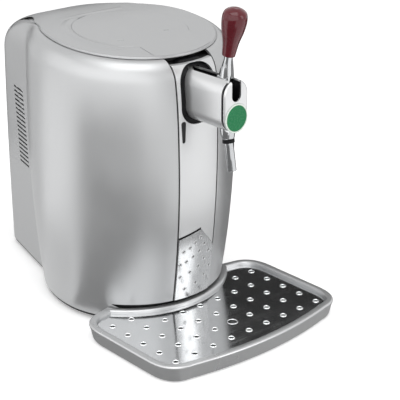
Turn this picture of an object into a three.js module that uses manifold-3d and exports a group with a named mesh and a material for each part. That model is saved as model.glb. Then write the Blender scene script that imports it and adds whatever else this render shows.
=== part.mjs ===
// Mini keg beer dispenser: a cooled barrel for a 5 litre keg, a tail for the cooler, a tap arm and a drip
// tray. Millimetres, +Z up, the tap faces -Y. X and Y start at the barrel's axis, and the last lines centre
// the whole.
import * as THREE from 'three';
import { mergeVertices } from 'three/addons/utils/BufferGeometryUtils.js';
import Module from 'manifold-3d';

const wasm = await Module();
wasm.setup();

// Fits
const GAP = 0.3;
const SEAM = 0.8;
const OVERRUN = 20;
const WELD = 1e-4;

// Body: a bellied barrel whose sections lean with the lid, and a tail that tapers to the rear
const FOOT_H = 8;
const WALL = 2.5;
const BODY_TOP = 347.3;
const RIM_Z = 345.3;
const BELLY_Z = 217;
const CHAMBER_R = 90;
const BODY_ROOM = 38;
const BELLY_R = CHAMBER_R + BODY_ROOM;
const BASE_R = BELLY_R - 20;
const RIM_R = CHAMBER_R + 14;
const BELLY_POWER = 2;
const SHOULDER_Z = 322;
const SHOULDER_SHARE = 0.72;
const LID_SLOPE = 0.1;
const LID_LEVEL_SLOPE = 0.12;
const LID_LEVEL_Y = 40;
const LID_LEVEL_SOFT = 25;
const LID_EDGE = 0.8;
const CHEEK_R = 135;
const CHEEK_EXTRA = 30;
const NECK_R = 45;
const NECK_EXTRA = 35;
const FLANK_Y = 130;
const FLANK_BASE_W = 63;
const FLANK_LEAN_W = 12.8;
const FLANK_SHOULDER_W = 10.9;
const FLANK_SHOULDER_Z = 295;
const FLANK_TAPER = 14.6;
const TAIL_END_Y = CHAMBER_R + 143;
const TAIL_LEAN = 20.5;
const CROWN_R = 56;
const CROWN_L = 120;
const TAIL_CORNER_R = 19;
const TAIL_CORNER_EXTRA = 34;
const TAIL_CORNER_Y = 70;
const LEVEL_SHARES = [0, 0.15, 0.38, 0.62, 0.78, 0.87, 0.93, 0.955, 0.975, 0.988, 0.9945];
const FINE_SHARE = 0.95;
const TOP_SHARES = [0.7, 0.35];
const TOP_HUB_Y = 12;
const SEAM_STEPS = [0, 0.15, 0.3, 0.5, 0.7, 0.85, 1];

// Seam of the lid: it rises with the lid over the barrel, falls to the hinge over the tail and gapes between
const LID_SEAM_Z = 345;
const SEAM_BEND_Y = RIM_R - 19;
const SEAM_FALL = 11.8;
const SEAM_GAPE = 3.4;
const HINGE_Y = CHAMBER_R + 70;
const HINGE_Z = 327.5;
const HINGE_CLEAR_R = 11.5;
const HINGE_ROOM_R = 14.4;

// Front panel, tap surround and splash plate
const PANEL_TOP_W = 64;
const PANEL_FOOT_W = 56;
const PANEL_BOTTOM_Z = 27;
const PANEL_TOP_Z = 339.5;
const TAP_ARCH_W = 52;
const TAP_ARCH_BOTTOM_Z = 257;
const TAP_ARCH_TOP_Z = 328;
const TAP_ARCH_R = 20;
const BEZEL_T = 3;
const NICHE_X = -24;
const NICHE_W = 5;
const NICHE_H = 27;
const NICHE_D = 1.6;
const PLATE_T = 1;
const PLATE_LEFT_Z = 112;
const PLATE_PEAK_X = 4;
const PLATE_PEAK_Z = 119;
const PLATE_RIGHT_Z = 91;
const PLATE_HOLE_D = 3.4;
const PLATE_HOLES = [
  [3.7, 108.1], [-4.3, 103.1], [10.4, 97.4], [-12.2, 97.9], [19.2, 85.3], [2.6, 89.7], [-21.3, 94.7],
  [-6.4, 84.2], [11.9, 76.7], [-16.5, 79.9], [-25, 77.3], [23.6, 62.7], [-9.8, 63.6], [-23.5, 60],
  [15, 52.3], [1.5, 45.1],
  [-15.3, 41.2], [3, 67.7],
];

// Tap arm
const ARM_W = 36;
const ARM_T = 2.2;
const ARM_TOP_Z = 323;
const ARM_BOTTOM_Z = 261;
const ARM_BACK_Y = -BELLY_R + 20;
const ARM_FRONT_Y = -BELLY_R - 42;
const CAP_D = 18.6;
const CAP_FRONT_Y = ARM_FRONT_Y - CAP_D;
const CAP_SHADOW = 1.5;
const CAP_EDGE = 2.5;
const SLOT_W = 14;
const SLOT_FRONT_Z = 297;
const CHANNEL_FLOOR_Z = 282;
const BADGE_R = 15;
const BADGE_T = 2;
const BADGE_Z = 279;

// Lever
const PIVOT_Y = ARM_FRONT_Y + 6;
const PIVOT_Z = 298;
const PIN_R = 2.5;
const HUB_R = 7;
const LEVER_W = 12.4;
const LEVER_LEAN = 12;
const STEM_NECK_R = 5;
const STEM_FOOT_L = 20;
const KNOB_FROM = 52;
const KNOB_L = 57;
const KNOB_R = 14.4;
const KNOB_NECK_R = 7.4;
const KNOB_TOP_R = 5;

// Beer line and nozzle
const HOSE_R = 3.1;
const HOSE_BORE_R = 2;
const NOZZLE_TILT = 10.5;
const NOZZLE_Y = ARM_FRONT_Y - 3;
const NOZZLE_TOP_Z = 262;
const CONE_R = 9.2;
const CONE_L = 13;
const RING_R = 7.3;
const RING_L = 6;
const TUBE_R = 5.6;
const TUBE_TIP_R = 5.3;
const TUBE_L = 31;
const TUBE_WALL = 1.2;
const CONNECTOR_W = 16;
const CONNECTOR_H = 12;
const CONNECTOR_L = 11;
const CONNECTOR_Z = 317;

// Chamber for the keg
const LINER_T = 1.5;
const LINER_FLOOR_Z = 56;
const LINER_RIM_Z = 312;
const LINER_LIP = 4;
const FOAM_T = 14;
const DECK_TOP_Z = 334;
const DECK_SLOPE = 0.059;
const MOUTH_T = 6;
const DECK_T = 10;
const COWL_T = 17;

// Lid fittings
const LINING_TOP_Z = 340;
const LINING_R = RIM_R - 4.5;
const LINING_T = 5.5;
const LINING_CROWN = 4.4;
const PLUG_R = CHAMBER_R - 6;
const PLUG_T = 13;
const GASKET_R = RIM_R - 7;
const GASKET_W = 5;
const PANEL_DISC_R = RIM_R - 33;
const PANEL_INLAY = 0.8;
const RIDGE_R = RIM_R - 27;
const RIDGE_W = 10;
const RIDGE_H = 1.6;
const RIDGE_START = 147;
const RIDGE_SWEEP = 182;
const TONGUE_IN_X = [-35, 55];
const TONGUE_OUT_X = [-40, 47];
const LIGHT_Y = -31;
const LIGHT_X = [-40, 31];
const LIGHT_L = 7;
const LIGHT_W = 3;
const KNUCKLE_R = 5.5;
const KNUCKLE_L = 12;
const KNUCKLE_LID_X = 20;
const KNUCKLE_COWL_X = 33;
const HINGE_PIN_R = 2.5;

// Cooler in the tail
const BLOCK_W = 50;
const BLOCK_H = 60;
const COOLER_Z = 200;
const MODULE_W = 40;
const MODULE_T = 4;
const SINK_W = 98;
const SINK_H = 108;
const SINK_BASE_T = 6;
const SINK_D = 34;
const FIN_T = 1.6;
const FIN_COUNT = 17;
const SINK_Y = CHAMBER_R + 20;
const FAN_W = 80;
const FAN_T = 25;
const FAN_BORE_R = 38;
const FAN_HUB_R = 17;
const FAN_BLADES = 7;
const BLADE_PITCH = 48;
const BLADE_T = 1.4;
const BLADE_GAP = 1.2;

// Rear cover, inlet and switch
const REAR_W = 68;
const REAR_FROM_Y = SINK_Y + 55;
const VENT_COUNT = 18;
const VENT_PITCH = 6.1;
const VENT_H = 2.8;
const VENT_Z = 145;
const VENT_FROM_Y = 134;
const VENT_L = 32;
const OUTLET_COUNT = 10;
const OUTLET_PITCH = 8;
const OUTLET_W = 52;
const OUTLET_H = 3.4;
const OUTLET_Z = 155;
const INLET_W = 28;
const INLET_H = 20;
const INLET_D = 22;
const INLET_Z = 40;
const SWITCH_W = 20;
const SWITCH_H = 14;
const SWITCH_D = 12;
const SWITCH_Z = 78;
const SWITCH_TILT = 10;
const SWITCH_RIM = 2;

// Floor and electronics
const PAN_T = 3;
const FOOT_R = 11;
const FOOT_STEM_R = 3.5;
const RIB_R = CHAMBER_R + 9;
const FOOT_PLACES = [[-70, -45], [70, -45], [-36, 165], [36, 165]];
const BOARD_T = 1.6;
const POST_H = 8;
const POST_R = 3.5;
const CONTROL_W = 80;
const CONTROL_L = 44;
const CONTROL_Y = SINK_Y + 24;
const SUPPLY_W = 60;
const SUPPLY_L = 42;
const SUPPLY_Y = SINK_Y + 73;
const SUPPLY_H = 32;
const CORE_SHARES = [1 / 5, 1 / 2.6];
const COIL_TOP_SHARE = 0.8;
const RELAY_H = 14;

// Drip tray
const TRAY_H = 22;
const TRAY_LIFT = 1.5;
const TRAY_W = 286;
const TRAY_FRONT_Y = -BELLY_R - 123.1;
const TRAY_FRONT_R = 475;
const TRAY_FRONT_CORNER = [TRAY_W / 2 - 33, TRAY_FRONT_Y + 56.1];
const TRAY_CORNER_CTRL_Y = TRAY_FRONT_Y + 16.1;
const TRAY_SHOULDER = [TRAY_W / 2 - 31, -BELLY_R + 64];
const TRAY_SIDE_Y = -BELLY_R + 21;
const TUCK_R = BELLY_R - 11;
const TUCK_Y = 11.6;
const TUCK_ANGLE = 52.5;
const TRAY_FLARE = 5;
const TRAY_RIM_W = 10;
const TRAY_FLOOR_T = 2.5;
const LEDGE_W = 4;
const GRID_T = 1.6;
const GRID_Z = 17.4;
const GRID_PITCH = 29;
const GRID_FIRST_Y = -BELLY_R + 29.4;
const TRAY_STEPS = 5;
const GRID_HOLE_D = 6;
const DRAIN_D = 13;
const TONGUE_W = 60;
const TONGUE_L = 30;
const PAD_W = 60;
const PAD_L = 12;

const rad = THREE.MathUtils.degToRad;
const mix = THREE.MathUtils.lerp;

// Materials
const finish = (color, roughness, metalness, more = {}) =>
  new THREE.MeshStandardMaterial({ color, roughness, metalness, ...more });
const SILVER = finish(0xb4b7b8, 0.38, 0.6);
const PALE_SILVER = finish(0xc9cccc, 0.34, 0.6);
const CHROME = finish(0xe4e6e8, 0.1, 1);
const STEEL = finish(0xc8cacb, 0.2, 1);
const ALUMINIUM = finish(0xb9bdc0, 0.45, 1);
const BLACK = finish(0x17181a, 0.45, 0);
const DARK_GREY = finish(0x4a4c4e, 0.5, 0);
const RUBBER = finish(0x222222, 0.85, 0);
const FOAM = finish(0xf1f1ec, 0.9, 0);
const WHITE = finish(0xe9e9e6, 0.5, 0);
const RED = finish(0x5a0a14, 0.15, 0);
const GREEN = finish(0x0f7a3a, 0.3, 0);
const CLEAR = finish(0xdfe6e8, 0.08, 0, { transparent: true, opacity: 0.45 });
const BOARD_GREEN = finish(0x1d5a34, 0.6, 0);

// Solids
function solid(geometry) {
  const bare = geometry.clone();
  bare.deleteAttribute('normal');
  bare.deleteAttribute('uv');
  const merged = mergeVertices(bare, WELD);
  const vertProperties = new Float32Array(merged.attributes.position.array);
  const triVerts = new Uint32Array(merged.index.array);
  const body = new wasm.Manifold(new wasm.Mesh({ numProp: 3, vertProperties, triVerts }));
  if (body.volume() > 0) return body;
  return new wasm.Manifold(new wasm.Mesh({ numProp: 3, vertProperties, triVerts: triVerts.reverse() }));
}

function geometryOf(body) {
  const { vertProperties, triVerts, numProp } = body.getMesh();
  const positions = new Float32Array((vertProperties.length / numProp) * 3);
  for (let i = 0; i < positions.length / 3; i += 1) {
    for (let k = 0; k < 3; k += 1) positions[3 * i + k] = vertProperties[numProp * i + k];
  }
  const geometry = new THREE.BufferGeometry();
  geometry.setAttribute('position', new THREE.BufferAttribute(positions, 3));
  geometry.setIndex([...triVerts]);
  return geometry;
}

function capOf(ring, start) {
  const normal = new THREE.Vector3();
  ring.forEach((point, i) => {
    normal.add(new THREE.Vector3().crossVectors(point, ring[(i + 1) % ring.length]));
  });
  normal.normalize();
  const across = ring[1].clone().sub(ring[0]).normalize();
  const up = new THREE.Vector3().crossVectors(normal, across);
  const flat = ring.map((point) => new THREE.Vector2(point.dot(across), point.dot(up)));
  return THREE.ShapeUtils.triangulateShape(flat, []).map((face) => face.map((i) => i + start));
}

// Rings of one count, each counterclockwise seen from the last ring's side, joined and closed by flat ends
function loft(rings) {
  const count = rings[0].length;
  const faces = [];
  for (let r = 0; r + 1 < rings.length; r += 1) {
    for (let i = 0; i < count; i += 1) {
      const j = (i + 1) % count;
      const low = r * count;
      const high = low + count;
      faces.push([low + i, low + j, high + j], [low + i, high + j, high + i]);
    }
  }
  capOf(rings[0], 0).forEach(([a, b, c]) => faces.push([a, c, b]));
  faces.push(...capOf(rings[rings.length - 1], (rings.length - 1) * count));
  const geometry = new THREE.BufferGeometry();
  geometry.setFromPoints(rings.flat());
  geometry.setIndex(faces.flat());
  return solid(geometry);
}

const at = (geometry, x, y, z) => solid(geometry.clone().translate(x, y, z));
const box = (w, d, h, x, y, z) => at(new THREE.BoxGeometry(w, d, h), x, y, z);
const spanBox = (x0, x1, y0, y1, z0, z1) =>
  box(x1 - x0, y1 - y0, z1 - z0, (x0 + x1) / 2, (y0 + y1) / 2, (z0 + z1) / 2);
const halfSpace = (x0, x1, y0, y1) => spanBox(x0, x1, y0, y1, -OVERRUN, BODY_TOP + TAIL_END_Y);

function upright(radius, z0, z1, x = 0, y = 0, sides = 48) {
  const geometry = new THREE.CylinderGeometry(radius, radius, z1 - z0, sides).rotateX(Math.PI / 2);
  return at(geometry, x, y, (z0 + z1) / 2);
}

function crosswise(radius, x0, x1, y, z, sides = 16) {
  const geometry = new THREE.CylinderGeometry(radius, radius, x1 - x0, sides).rotateZ(Math.PI / 2);
  return at(geometry, (x0 + x1) / 2, y, z);
}

function lengthwise(radius, y0, y1, x, z, sides = 32) {
  return at(new THREE.CylinderGeometry(radius, radius, y1 - y0, sides), x, (y0 + y1) / 2, z);
}

// A shape drawn in X and Z, pushed along Y
function pushed(shape, y0, y1, curveSegments = 6) {
  const geometry = new THREE.ExtrudeGeometry(shape, { depth: y1 - y0, bevelEnabled: false, curveSegments });
  return solid(geometry.rotateX(Math.PI / 2).translate(0, y1, 0));
}

// A shape drawn in Y and Z, pushed along X through the whole width
function acrossPrism(points) {
  const shape = new THREE.Shape(points.map(([y, z]) => new THREE.Vector2(y, z)));
  const width = 2 * (BELLY_R + OVERRUN);
  const geometry = new THREE.ExtrudeGeometry(shape, { depth: width, bevelEnabled: false });
  const turn = new THREE.Matrix4().makeBasis(
    new THREE.Vector3(0, 1, 0), new THREE.Vector3(0, 0, 1), new THREE.Vector3(1, 0, 0));
  return solid(geometry.applyMatrix4(turn).translate(-width / 2, 0, 0));
}

// Turned pieces at the chamber's mouth lie on a plane that rises with Y
const LEAN = new THREE.Matrix4().set(1, 0, 0, 0, 0, 1, 0, 0, 0, DECK_SLOPE, 1, 0, 0, 0, 0, 1);
function turned(profile, { lean = false, sides = 48 } = {}) {
  const points = [...profile, profile[0]].map(([r, z]) => new THREE.Vector2(r, z));
  const geometry = new THREE.LatheGeometry(points, sides).rotateX(Math.PI / 2);
  return solid(lean ? geometry.applyMatrix4(LEAN) : geometry);
}

// Body sections
const smooth = (t) => THREE.MathUtils.smoothstep(t, 0, 1);

function barrelRadius(z) {
  if (z < BELLY_Z) return BELLY_R - (BELLY_R - BASE_R) * ((BELLY_Z - z) / BELLY_Z) ** BELLY_POWER;
  const rise = Math.min(1, (z - BELLY_Z) / (RIM_Z - BELLY_Z));
  const bend = Math.min(1, Math.max(0, z - SHOULDER_Z) / (RIM_Z - SHOULDER_Z));
  return BELLY_R - (BELLY_R - RIM_R) * mix(rise ** 3, 1 - Math.sqrt(1 - bend ** 2), SHOULDER_SHARE);
}

// The top rises with Y over the barrel and levels off over the tail
function topRise(y) {
  const past = y - LID_LEVEL_Y;
  return LID_SLOPE * y - (LID_LEVEL_SLOPE * (past + Math.hypot(past, LID_LEVEL_SOFT))) / 2;
}
const leanShare = (z) => smooth((z - BELLY_Z) / (RIM_Z - BELLY_Z));

function arc(cx, cy, radius, from, to, steps) {
  return Array.from({ length: steps + 1 }, (_, i) => {
    const angle = mix(from, to, i / steps);
    return [cx + radius * Math.cos(angle), cy + radius * Math.sin(angle)];
  });
}

// The right half of a section: barrel, fuller cheek, hollow neck, straight flank, round corner, rear
function halfSection(z, inset) {
  const share = z / BODY_TOP;
  const radius = barrelRadius(z);
  const cheek = CHEEK_R + CHEEK_EXTRA * (1 - share) ** 3;
  const neck = NECK_R + NECK_EXTRA * share ** 6;
  const taper = rad(FLANK_TAPER);
  const shoulder = Math.max(0, z - FLANK_SHOULDER_Z) / (BODY_TOP - FLANK_SHOULDER_Z);
  const flank = FLANK_BASE_W + FLANK_LEAN_W * share - FLANK_SHOULDER_W * shoulder ** 3;
  const wall = Math.cos(taper) * flank + Math.sin(taper) * FLANK_Y;
  const crown = Math.max(0, z - (BODY_TOP - CROWN_R)) / CROWN_R;
  const end = TAIL_END_Y - TAIL_LEAN * share - CROWN_L * (1 - Math.sqrt(1 - Math.min(1, crown) ** 2));
  const corner = Math.min(TAIL_CORNER_R + TAIL_CORNER_EXTRA * share ** 2, end - TAIL_CORNER_Y);

  const along = [-Math.sin(taper), Math.cos(taper)];
  const out = [Math.cos(taper), Math.sin(taper)];
  const cheekX = radius - cheek;
  const reach = wall + neck - out[0] * cheekX;
  const climb = Math.sqrt((cheek + neck) ** 2 - reach ** 2);
  const neckX = cheekX + out[0] * reach + along[0] * climb;
  const neckY = out[1] * reach + along[1] * climb;
  const turn = Math.atan2(neckY, neckX - cheekX);
  const cornerY = end - corner;
  const cornerX = (wall - corner - out[1] * cornerY) / out[0];

  return [
    ...arc(0, 0, radius - inset, -Math.PI / 2, 0, 8),
    ...arc(cheekX, 0, cheek - inset, 0, turn, 4).slice(1, -1),
    ...arc(neckX, neckY, neck + inset, turn + Math.PI, taper + Math.PI, 3),
    ...arc(cornerX, cornerY, corner - inset, taper, Math.PI / 2, 4),
    [0, end - inset],
  ];
}

function section(z, inset = 0, sink = 0) {
  const right = halfSection(z, inset);
  const left = right.slice(1, -1).reverse().map(([x, y]) => [-x, y]);
  return [...right, ...left].map(([x, y]) => new THREE.Vector3(x, y, z - sink + leanShare(z) * topRise(y)));
}

// The body's whole form, drawn in by an inset that also lowers its top
function bodyForm(inset = 0) {
  const coarse = LEVEL_SHARES.filter((share, i) => i % 2 === 0 || share > FINE_SHARE);
  const shares = inset > 0 ? coarse : LEVEL_SHARES;
  const levels = shares.map((share) => mix(FOOT_H, BODY_TOP, share));
  const rings = levels.map((z) => section(z, inset, inset * smooth((z - BELLY_Z) / (RIM_Z - BELLY_Z))));
  if (inset > 0) rings.unshift(section(FOOT_H, inset, OVERRUN));
  const edge = section(BODY_TOP, inset + LID_EDGE, inset);
  rings.push(edge, ...TOP_SHARES.map((share) => edge.map(({ x, y }) => {
    const inY = mix(TOP_HUB_Y, y, share);
    return new THREE.Vector3(x * share, inY, BODY_TOP - inset + topRise(inY));
  })));
  return loft(rings);
}

const outer = bodyForm();
const inner = bodyForm(WALL);
const lining = bodyForm(WALL + 4 * GAP);

// The lid's seam seen from the side, and what lies below it
function seamZ(y, z0, gape) {
  const share = Math.min(1, Math.max(0, y - SEAM_BEND_Y) / (HINGE_Y - SEAM_BEND_Y));
  return z0 + topRise(y) - SEAM_FALL * share ** 3 - gape * Math.sin(Math.PI * share);
}

function belowSeam(z0, gape = 0) {
  const front = -BELLY_R - OVERRUN;
  const back = TAIL_END_Y + OVERRUN;
  const bends = SEAM_STEPS.map((share) => mix(HINGE_Y, SEAM_BEND_Y, share));
  const steps = [back, ...bends, mix(LID_LEVEL_Y, SEAM_BEND_Y, SEAM_STEPS[3]), LID_LEVEL_Y, 0, front];
  return acrossPrism([[front, -OVERRUN], [back, -OVERRUN], ...steps.map((y) => [y, seamZ(y, z0, gape)])]);
}

const tapArch = (grow = 0) => {
  const half = TAP_ARCH_W / 2 + grow;
  const top = TAP_ARCH_TOP_Z + grow;
  const bottom = TAP_ARCH_BOTTOM_Z - grow;
  const round = TAP_ARCH_R;
  const shape = new THREE.Shape();
  shape.moveTo(-half + round, bottom);
  shape.lineTo(half - round, bottom);
  shape.absarc(half - round, bottom + round, round, -Math.PI / 2, 0);
  shape.absarc(half - round, top - round, round, 0, Math.PI / 2);
  shape.absarc(-half + round, top - round, round, Math.PI / 2, Math.PI);
  shape.absarc(-half + round, bottom + round, round, Math.PI, 1.5 * Math.PI);
  return shape;
};

const stadium = (grow = 0) => {
  const radius = ARM_W / 2 + grow;
  const shape = new THREE.Shape();
  shape.absarc(0, ARM_TOP_Z - ARM_W / 2, radius, 0, Math.PI);
  shape.absarc(0, ARM_BOTTOM_Z + ARM_W / 2, radius, Math.PI, 2 * Math.PI);
  return shape;
};

// The tray tucks under the barrel's front, below a round step
const tuck = spanBox(-BELLY_R, BELLY_R, -BELLY_R - OVERRUN, 0, -OVERRUN, PANEL_BOTTOM_Z)
  .subtract(upright(TUCK_R, -OVERRUN, PANEL_BOTTOM_Z + OVERRUN, 0, TUCK_Y, 48));

const hingeRoom = crosswise(HINGE_ROOM_R, -BELLY_R, BELLY_R, HINGE_Y, HINGE_Z);
const skin = outer.subtract(inner).subtract(inner.translate([0, 0, SEAM])).subtract(tuck)
  .intersect(belowSeam(LID_SEAM_Z - SEAM / 2, SEAM_GAPE)).subtract(hingeRoom);

const rearHalf = REAR_W / 2;

// Vents: level slots through the tail's flanks
function ventSlots(side) {
  const slots = Array.from({ length: VENT_COUNT }, (_, i) => box(
    BELLY_R, VENT_L, VENT_H, side * BELLY_R / 2 + side * WALL, VENT_FROM_Y + VENT_L / 2, VENT_Z + i * VENT_PITCH));
  return wasm.Manifold.union(slots);
}

// The main body of a cut, without the crumbs that thin wedges leave
const larger = (one, other) => (other.volume() > one.volume() ? other : one);
const largest = (body) => body.decompose().reduce(larger);

function sideSlab(side, x0, x1, y0, y1) {
  return side > 0 ? halfSpace(x0, x1, y0, y1) : halfSpace(-x1, -x0, y0, y1);
}

// The front panel narrows towards its foot
function panelSlab(grow) {
  const [top, foot] = [PANEL_TOP_W / 2 + grow, PANEL_FOOT_W / 2 + grow];
  const corner = (x, z) => new THREE.Vector2(x, z);
  return pushed(new THREE.Shape([corner(-foot, 0), corner(foot, 0), corner(top, BODY_TOP), corner(-top, BODY_TOP)]),
    -BELLY_R - OVERRUN, 0);
}

function shellHalf(side) {
  return largest(skin.intersect(sideSlab(side, 0, 2 * BELLY_R, -2 * BELLY_R, 2 * TAIL_END_Y))
    .subtract(panelSlab(SEAM / 2))
    .subtract(sideSlab(side, -OVERRUN, rearHalf + GAP / 2, FLANK_Y, 2 * TAIL_END_Y))
    .subtract(ventSlots(side)));
}

// Front panel, its black tap surround and the perforated plate on its foot
const leaningSlab = (z0, z1, y0, y1, slope = DECK_SLOPE) => acrossPrism([
  [y0, z0 + slope * y0], [y1, z0 + slope * y1], [y1, z1 + slope * y1], [y0, z1 + slope * y0],
]);
const frontSpan = [-BELLY_R - OVERRUN, 0];

// A shallow upright niche left of the tap
function niche() {
  const radius = NICHE_W / 2;
  const shape = new THREE.Shape();
  shape.absarc(NICHE_X, TAP_ARCH_BOTTOM_Z + radius, radius, 0, Math.PI);
  shape.absarc(NICHE_X, TAP_ARCH_BOTTOM_Z - NICHE_H + 3 * radius, radius, Math.PI, 2 * Math.PI);
  return shape;
}

function frontPanel() {
  return skin.intersect(panelSlab(-SEAM / 2))
    .subtract(leaningSlab(PANEL_TOP_Z, BODY_TOP + OVERRUN, ...frontSpan, LID_SLOPE))
    .subtract(spanBox(-PANEL_TOP_W, PANEL_TOP_W, ...frontSpan, -OVERRUN, PANEL_BOTTOM_Z))
    .subtract(pushed(tapArch(), ...frontSpan))
    .subtract(pushed(niche(), ...frontSpan, 3).subtract(bodyForm(NICHE_D)));
}

const bezelBackY = -CHAMBER_R - LINER_LIP - DECK_T / 2;
const connectorY = -CHAMBER_R - LINER_LIP - GAP - CONNECTOR_L / 2;
const connectorRoom = spanBox(-CONNECTOR_W / 2 - GAP, CONNECTOR_W / 2 + GAP, ...frontSpan,
  CONNECTOR_Z - CONNECTOR_H / 2 - GAP, CONNECTOR_Z + CONNECTOR_H / 2 + GAP);

function tapBezel() {
  return bodyForm(WALL + GAP).subtract(bodyForm(WALL + GAP + BEZEL_T))
    .intersect(pushed(tapArch(BEZEL_T), -BELLY_R, bezelBackY))
    .subtract(pushed(stadium(GAP), ...frontSpan)).subtract(connectorRoom);
}

function splashPlate() {
  const foot = PANEL_BOTTOM_Z + GAP;
  const edge = (z) => mix(PANEL_FOOT_W, PANEL_TOP_W, z / BODY_TOP) / 2 - SEAM;
  const corner = (x, z) => new THREE.Vector2(x, z);
  const shape = new THREE.Shape([
    corner(-edge(foot), foot), corner(edge(foot), foot), corner(edge(PLATE_RIGHT_Z), PLATE_RIGHT_Z),
    corner(PLATE_PEAK_X, PLATE_PEAK_Z), corner(-edge(PLATE_LEFT_Z), PLATE_LEFT_Z),
  ]);
  const holes = PLATE_HOLES.map(([x, z]) => lengthwise(PLATE_HOLE_D / 2, ...frontSpan, x, z, 6));
  return bodyForm(-GAP - PLATE_T).subtract(bodyForm(-GAP))
    .intersect(pushed(shape, ...frontSpan)).subtract(wasm.Manifold.union(holes));
}

// Beer line from the parked connector over the chamber's rim, along the arm and down to the outlet
const nozzleTurn = rad(NOZZLE_TILT);
function nozzleAt(drop) {
  return [NOZZLE_Y - drop * Math.sin(nozzleTurn), NOZZLE_TOP_Z - drop * Math.cos(nozzleTurn)];
}
const hoseFloor = CHANNEL_FLOOR_Z + GAP + HOSE_R;
const hoseStart = connectorY - CONNECTOR_L / 2 - GAP;
const hosePath = [
  [hoseStart, CONNECTOR_Z],
  [hoseStart - HOSE_R, CONNECTOR_Z],
  [hoseStart - 2 * HOSE_R, CONNECTOR_Z - HOSE_R / 3],
  [-BELLY_R + CONNECTOR_L / 2, mix(hoseFloor, CONNECTOR_Z, 0.4)],
  [-BELLY_R - CONNECTOR_L / 2, hoseFloor + HOSE_R / 2],
  [-BELLY_R - 1.5 * CONNECTOR_L, hoseFloor],
  [PIVOT_Y + HOSE_R, hoseFloor],
  [NOZZLE_Y + HOSE_R, hoseFloor - HOSE_R],
  [NOZZLE_Y + HOSE_R / 3, NOZZLE_TOP_Z + 2 * HOSE_R],
  nozzleAt(CONE_L / 2),
  nozzleAt(CONE_L + RING_L / 2),
];
const hosePoints = hosePath.map(([y, z]) => new THREE.Vector3(0, y, z));
const hoseCurve = new THREE.CatmullRomCurve3(hosePoints, false, 'centripetal');

function hose(radius, halfSides = 4, steps = 24) {
  const shape = new THREE.Shape();
  shape.absarc(0, 0, radius, 0, 2 * Math.PI);
  const settings = { steps, extrudePath: hoseCurve, curveSegments: halfSides };
  return solid(new THREE.ExtrudeGeometry(shape, settings));
}
const hoseRoom = hose(HOSE_R + 2 * GAP);

// Tap arm
const armSlot = (grow, y0, y1, floor) =>
  spanBox(-SLOT_W / 2 - grow, SLOT_W / 2 + grow, y0, y1, floor, ARM_TOP_Z + OVERRUN);
const pinRoom = crosswise(PIN_R + GAP, -ARM_W, ARM_W, PIVOT_Y, PIVOT_Z);

function armHousing() {
  return pushed(stadium(), ARM_FRONT_Y, ARM_BACK_Y)
    .subtract(pushed(stadium(-ARM_T), ARM_FRONT_Y - GAP, ARM_BACK_Y + GAP))
    .subtract(armSlot(0, ARM_FRONT_Y - OVERRUN, ARM_BACK_Y + OVERRUN, PIVOT_Z));
}

function armLiner() {
  const channel = armSlot(-GAP, CAP_FRONT_Y, ARM_BACK_Y + OVERRUN, CHANNEL_FLOOR_Z);
  const nose = pushed(stadium(-ARM_T - GAP), CAP_FRONT_Y + CAP_EDGE + GAP, ARM_BACK_Y);
  return nose.subtract(channel).subtract(hoseRoom).subtract(pinRoom);
}

function ringOf(shape, y) {
  return shape.getPoints(6).slice(0, -1).map(({ x, y: z }) => new THREE.Vector3(x, y, z));
}

function armCap() {
  const back = ARM_FRONT_Y - CAP_SHADOW;
  const face = ARM_FRONT_Y - CAP_SHADOW - CAP_EDGE;
  const nose = loft([
    [CAP_FRONT_Y, -CAP_EDGE], [CAP_FRONT_Y + CAP_EDGE / 3, -CAP_EDGE / 3],
    [CAP_FRONT_Y + CAP_EDGE, 0], [back, 0],
  ].map(([y, grow]) => ringOf(stadium(grow - GAP), y)));
  const slotBase = SLOT_FRONT_Z + SLOT_W / 2;
  const slotFoot = lengthwise(SLOT_W / 2, CAP_FRONT_Y - OVERRUN, back + OVERRUN, 0, slotBase);
  return nose.subtract(pushed(stadium(-ARM_T), CAP_FRONT_Y + CAP_EDGE, face + OVERRUN))
    .subtract(armSlot(0, CAP_FRONT_Y - OVERRUN, back + OVERRUN, SLOT_FRONT_Z + SLOT_W / 2))
    .subtract(slotFoot)
    .subtract(lengthwise(BADGE_R + GAP, CAP_FRONT_Y - OVERRUN, CAP_FRONT_Y + BADGE_T / 2, 0, BADGE_Z, 28))
    .subtract(hoseRoom);
}

function badge() {
  return lengthwise(BADGE_R, CAP_FRONT_Y - BADGE_T / 2, CAP_FRONT_Y + BADGE_T / 2 - GAP, 0, BADGE_Z, 28);
}

// Lever: drawn upright over its pivot, then leant forward
function lever(body) {
  const turn = new THREE.Matrix4().makeRotationX(rad(LEVER_LEAN)).setPosition(0, PIVOT_Y, PIVOT_Z);
  return body.transform(turn.elements);
}

function stemForm() {
  const foot = ARM_TOP_Z - PIVOT_Z;
  const neckFoot = STEM_NECK_R + 2 * GAP;
  const neckTop = KNOB_FROM + CONE_L;
  const neck = [
    [0, foot / 2], [neckFoot + GAP, foot / 2], [neckFoot, foot], [STEM_NECK_R, neckTop], [0, neckTop],
  ];
  const blade = box(LEVER_W, STEM_FOOT_L / 2 + HUB_R / 2, foot, 0, 0, foot / 2)
    .intersect(crosswise(foot + HUB_R, -HUB_R, HUB_R, 0, 0));
  return blade
    .add(crosswise(HUB_R, -LEVER_W / 2, LEVER_W / 2, 0, 0))
    .add(turned(neck, { sides: 24 }))
    .subtract(crosswise(PIN_R + GAP, -2 * HUB_R, 2 * HUB_R, 0, 0));
}

const leverStem = () => lever(stemForm());

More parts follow.
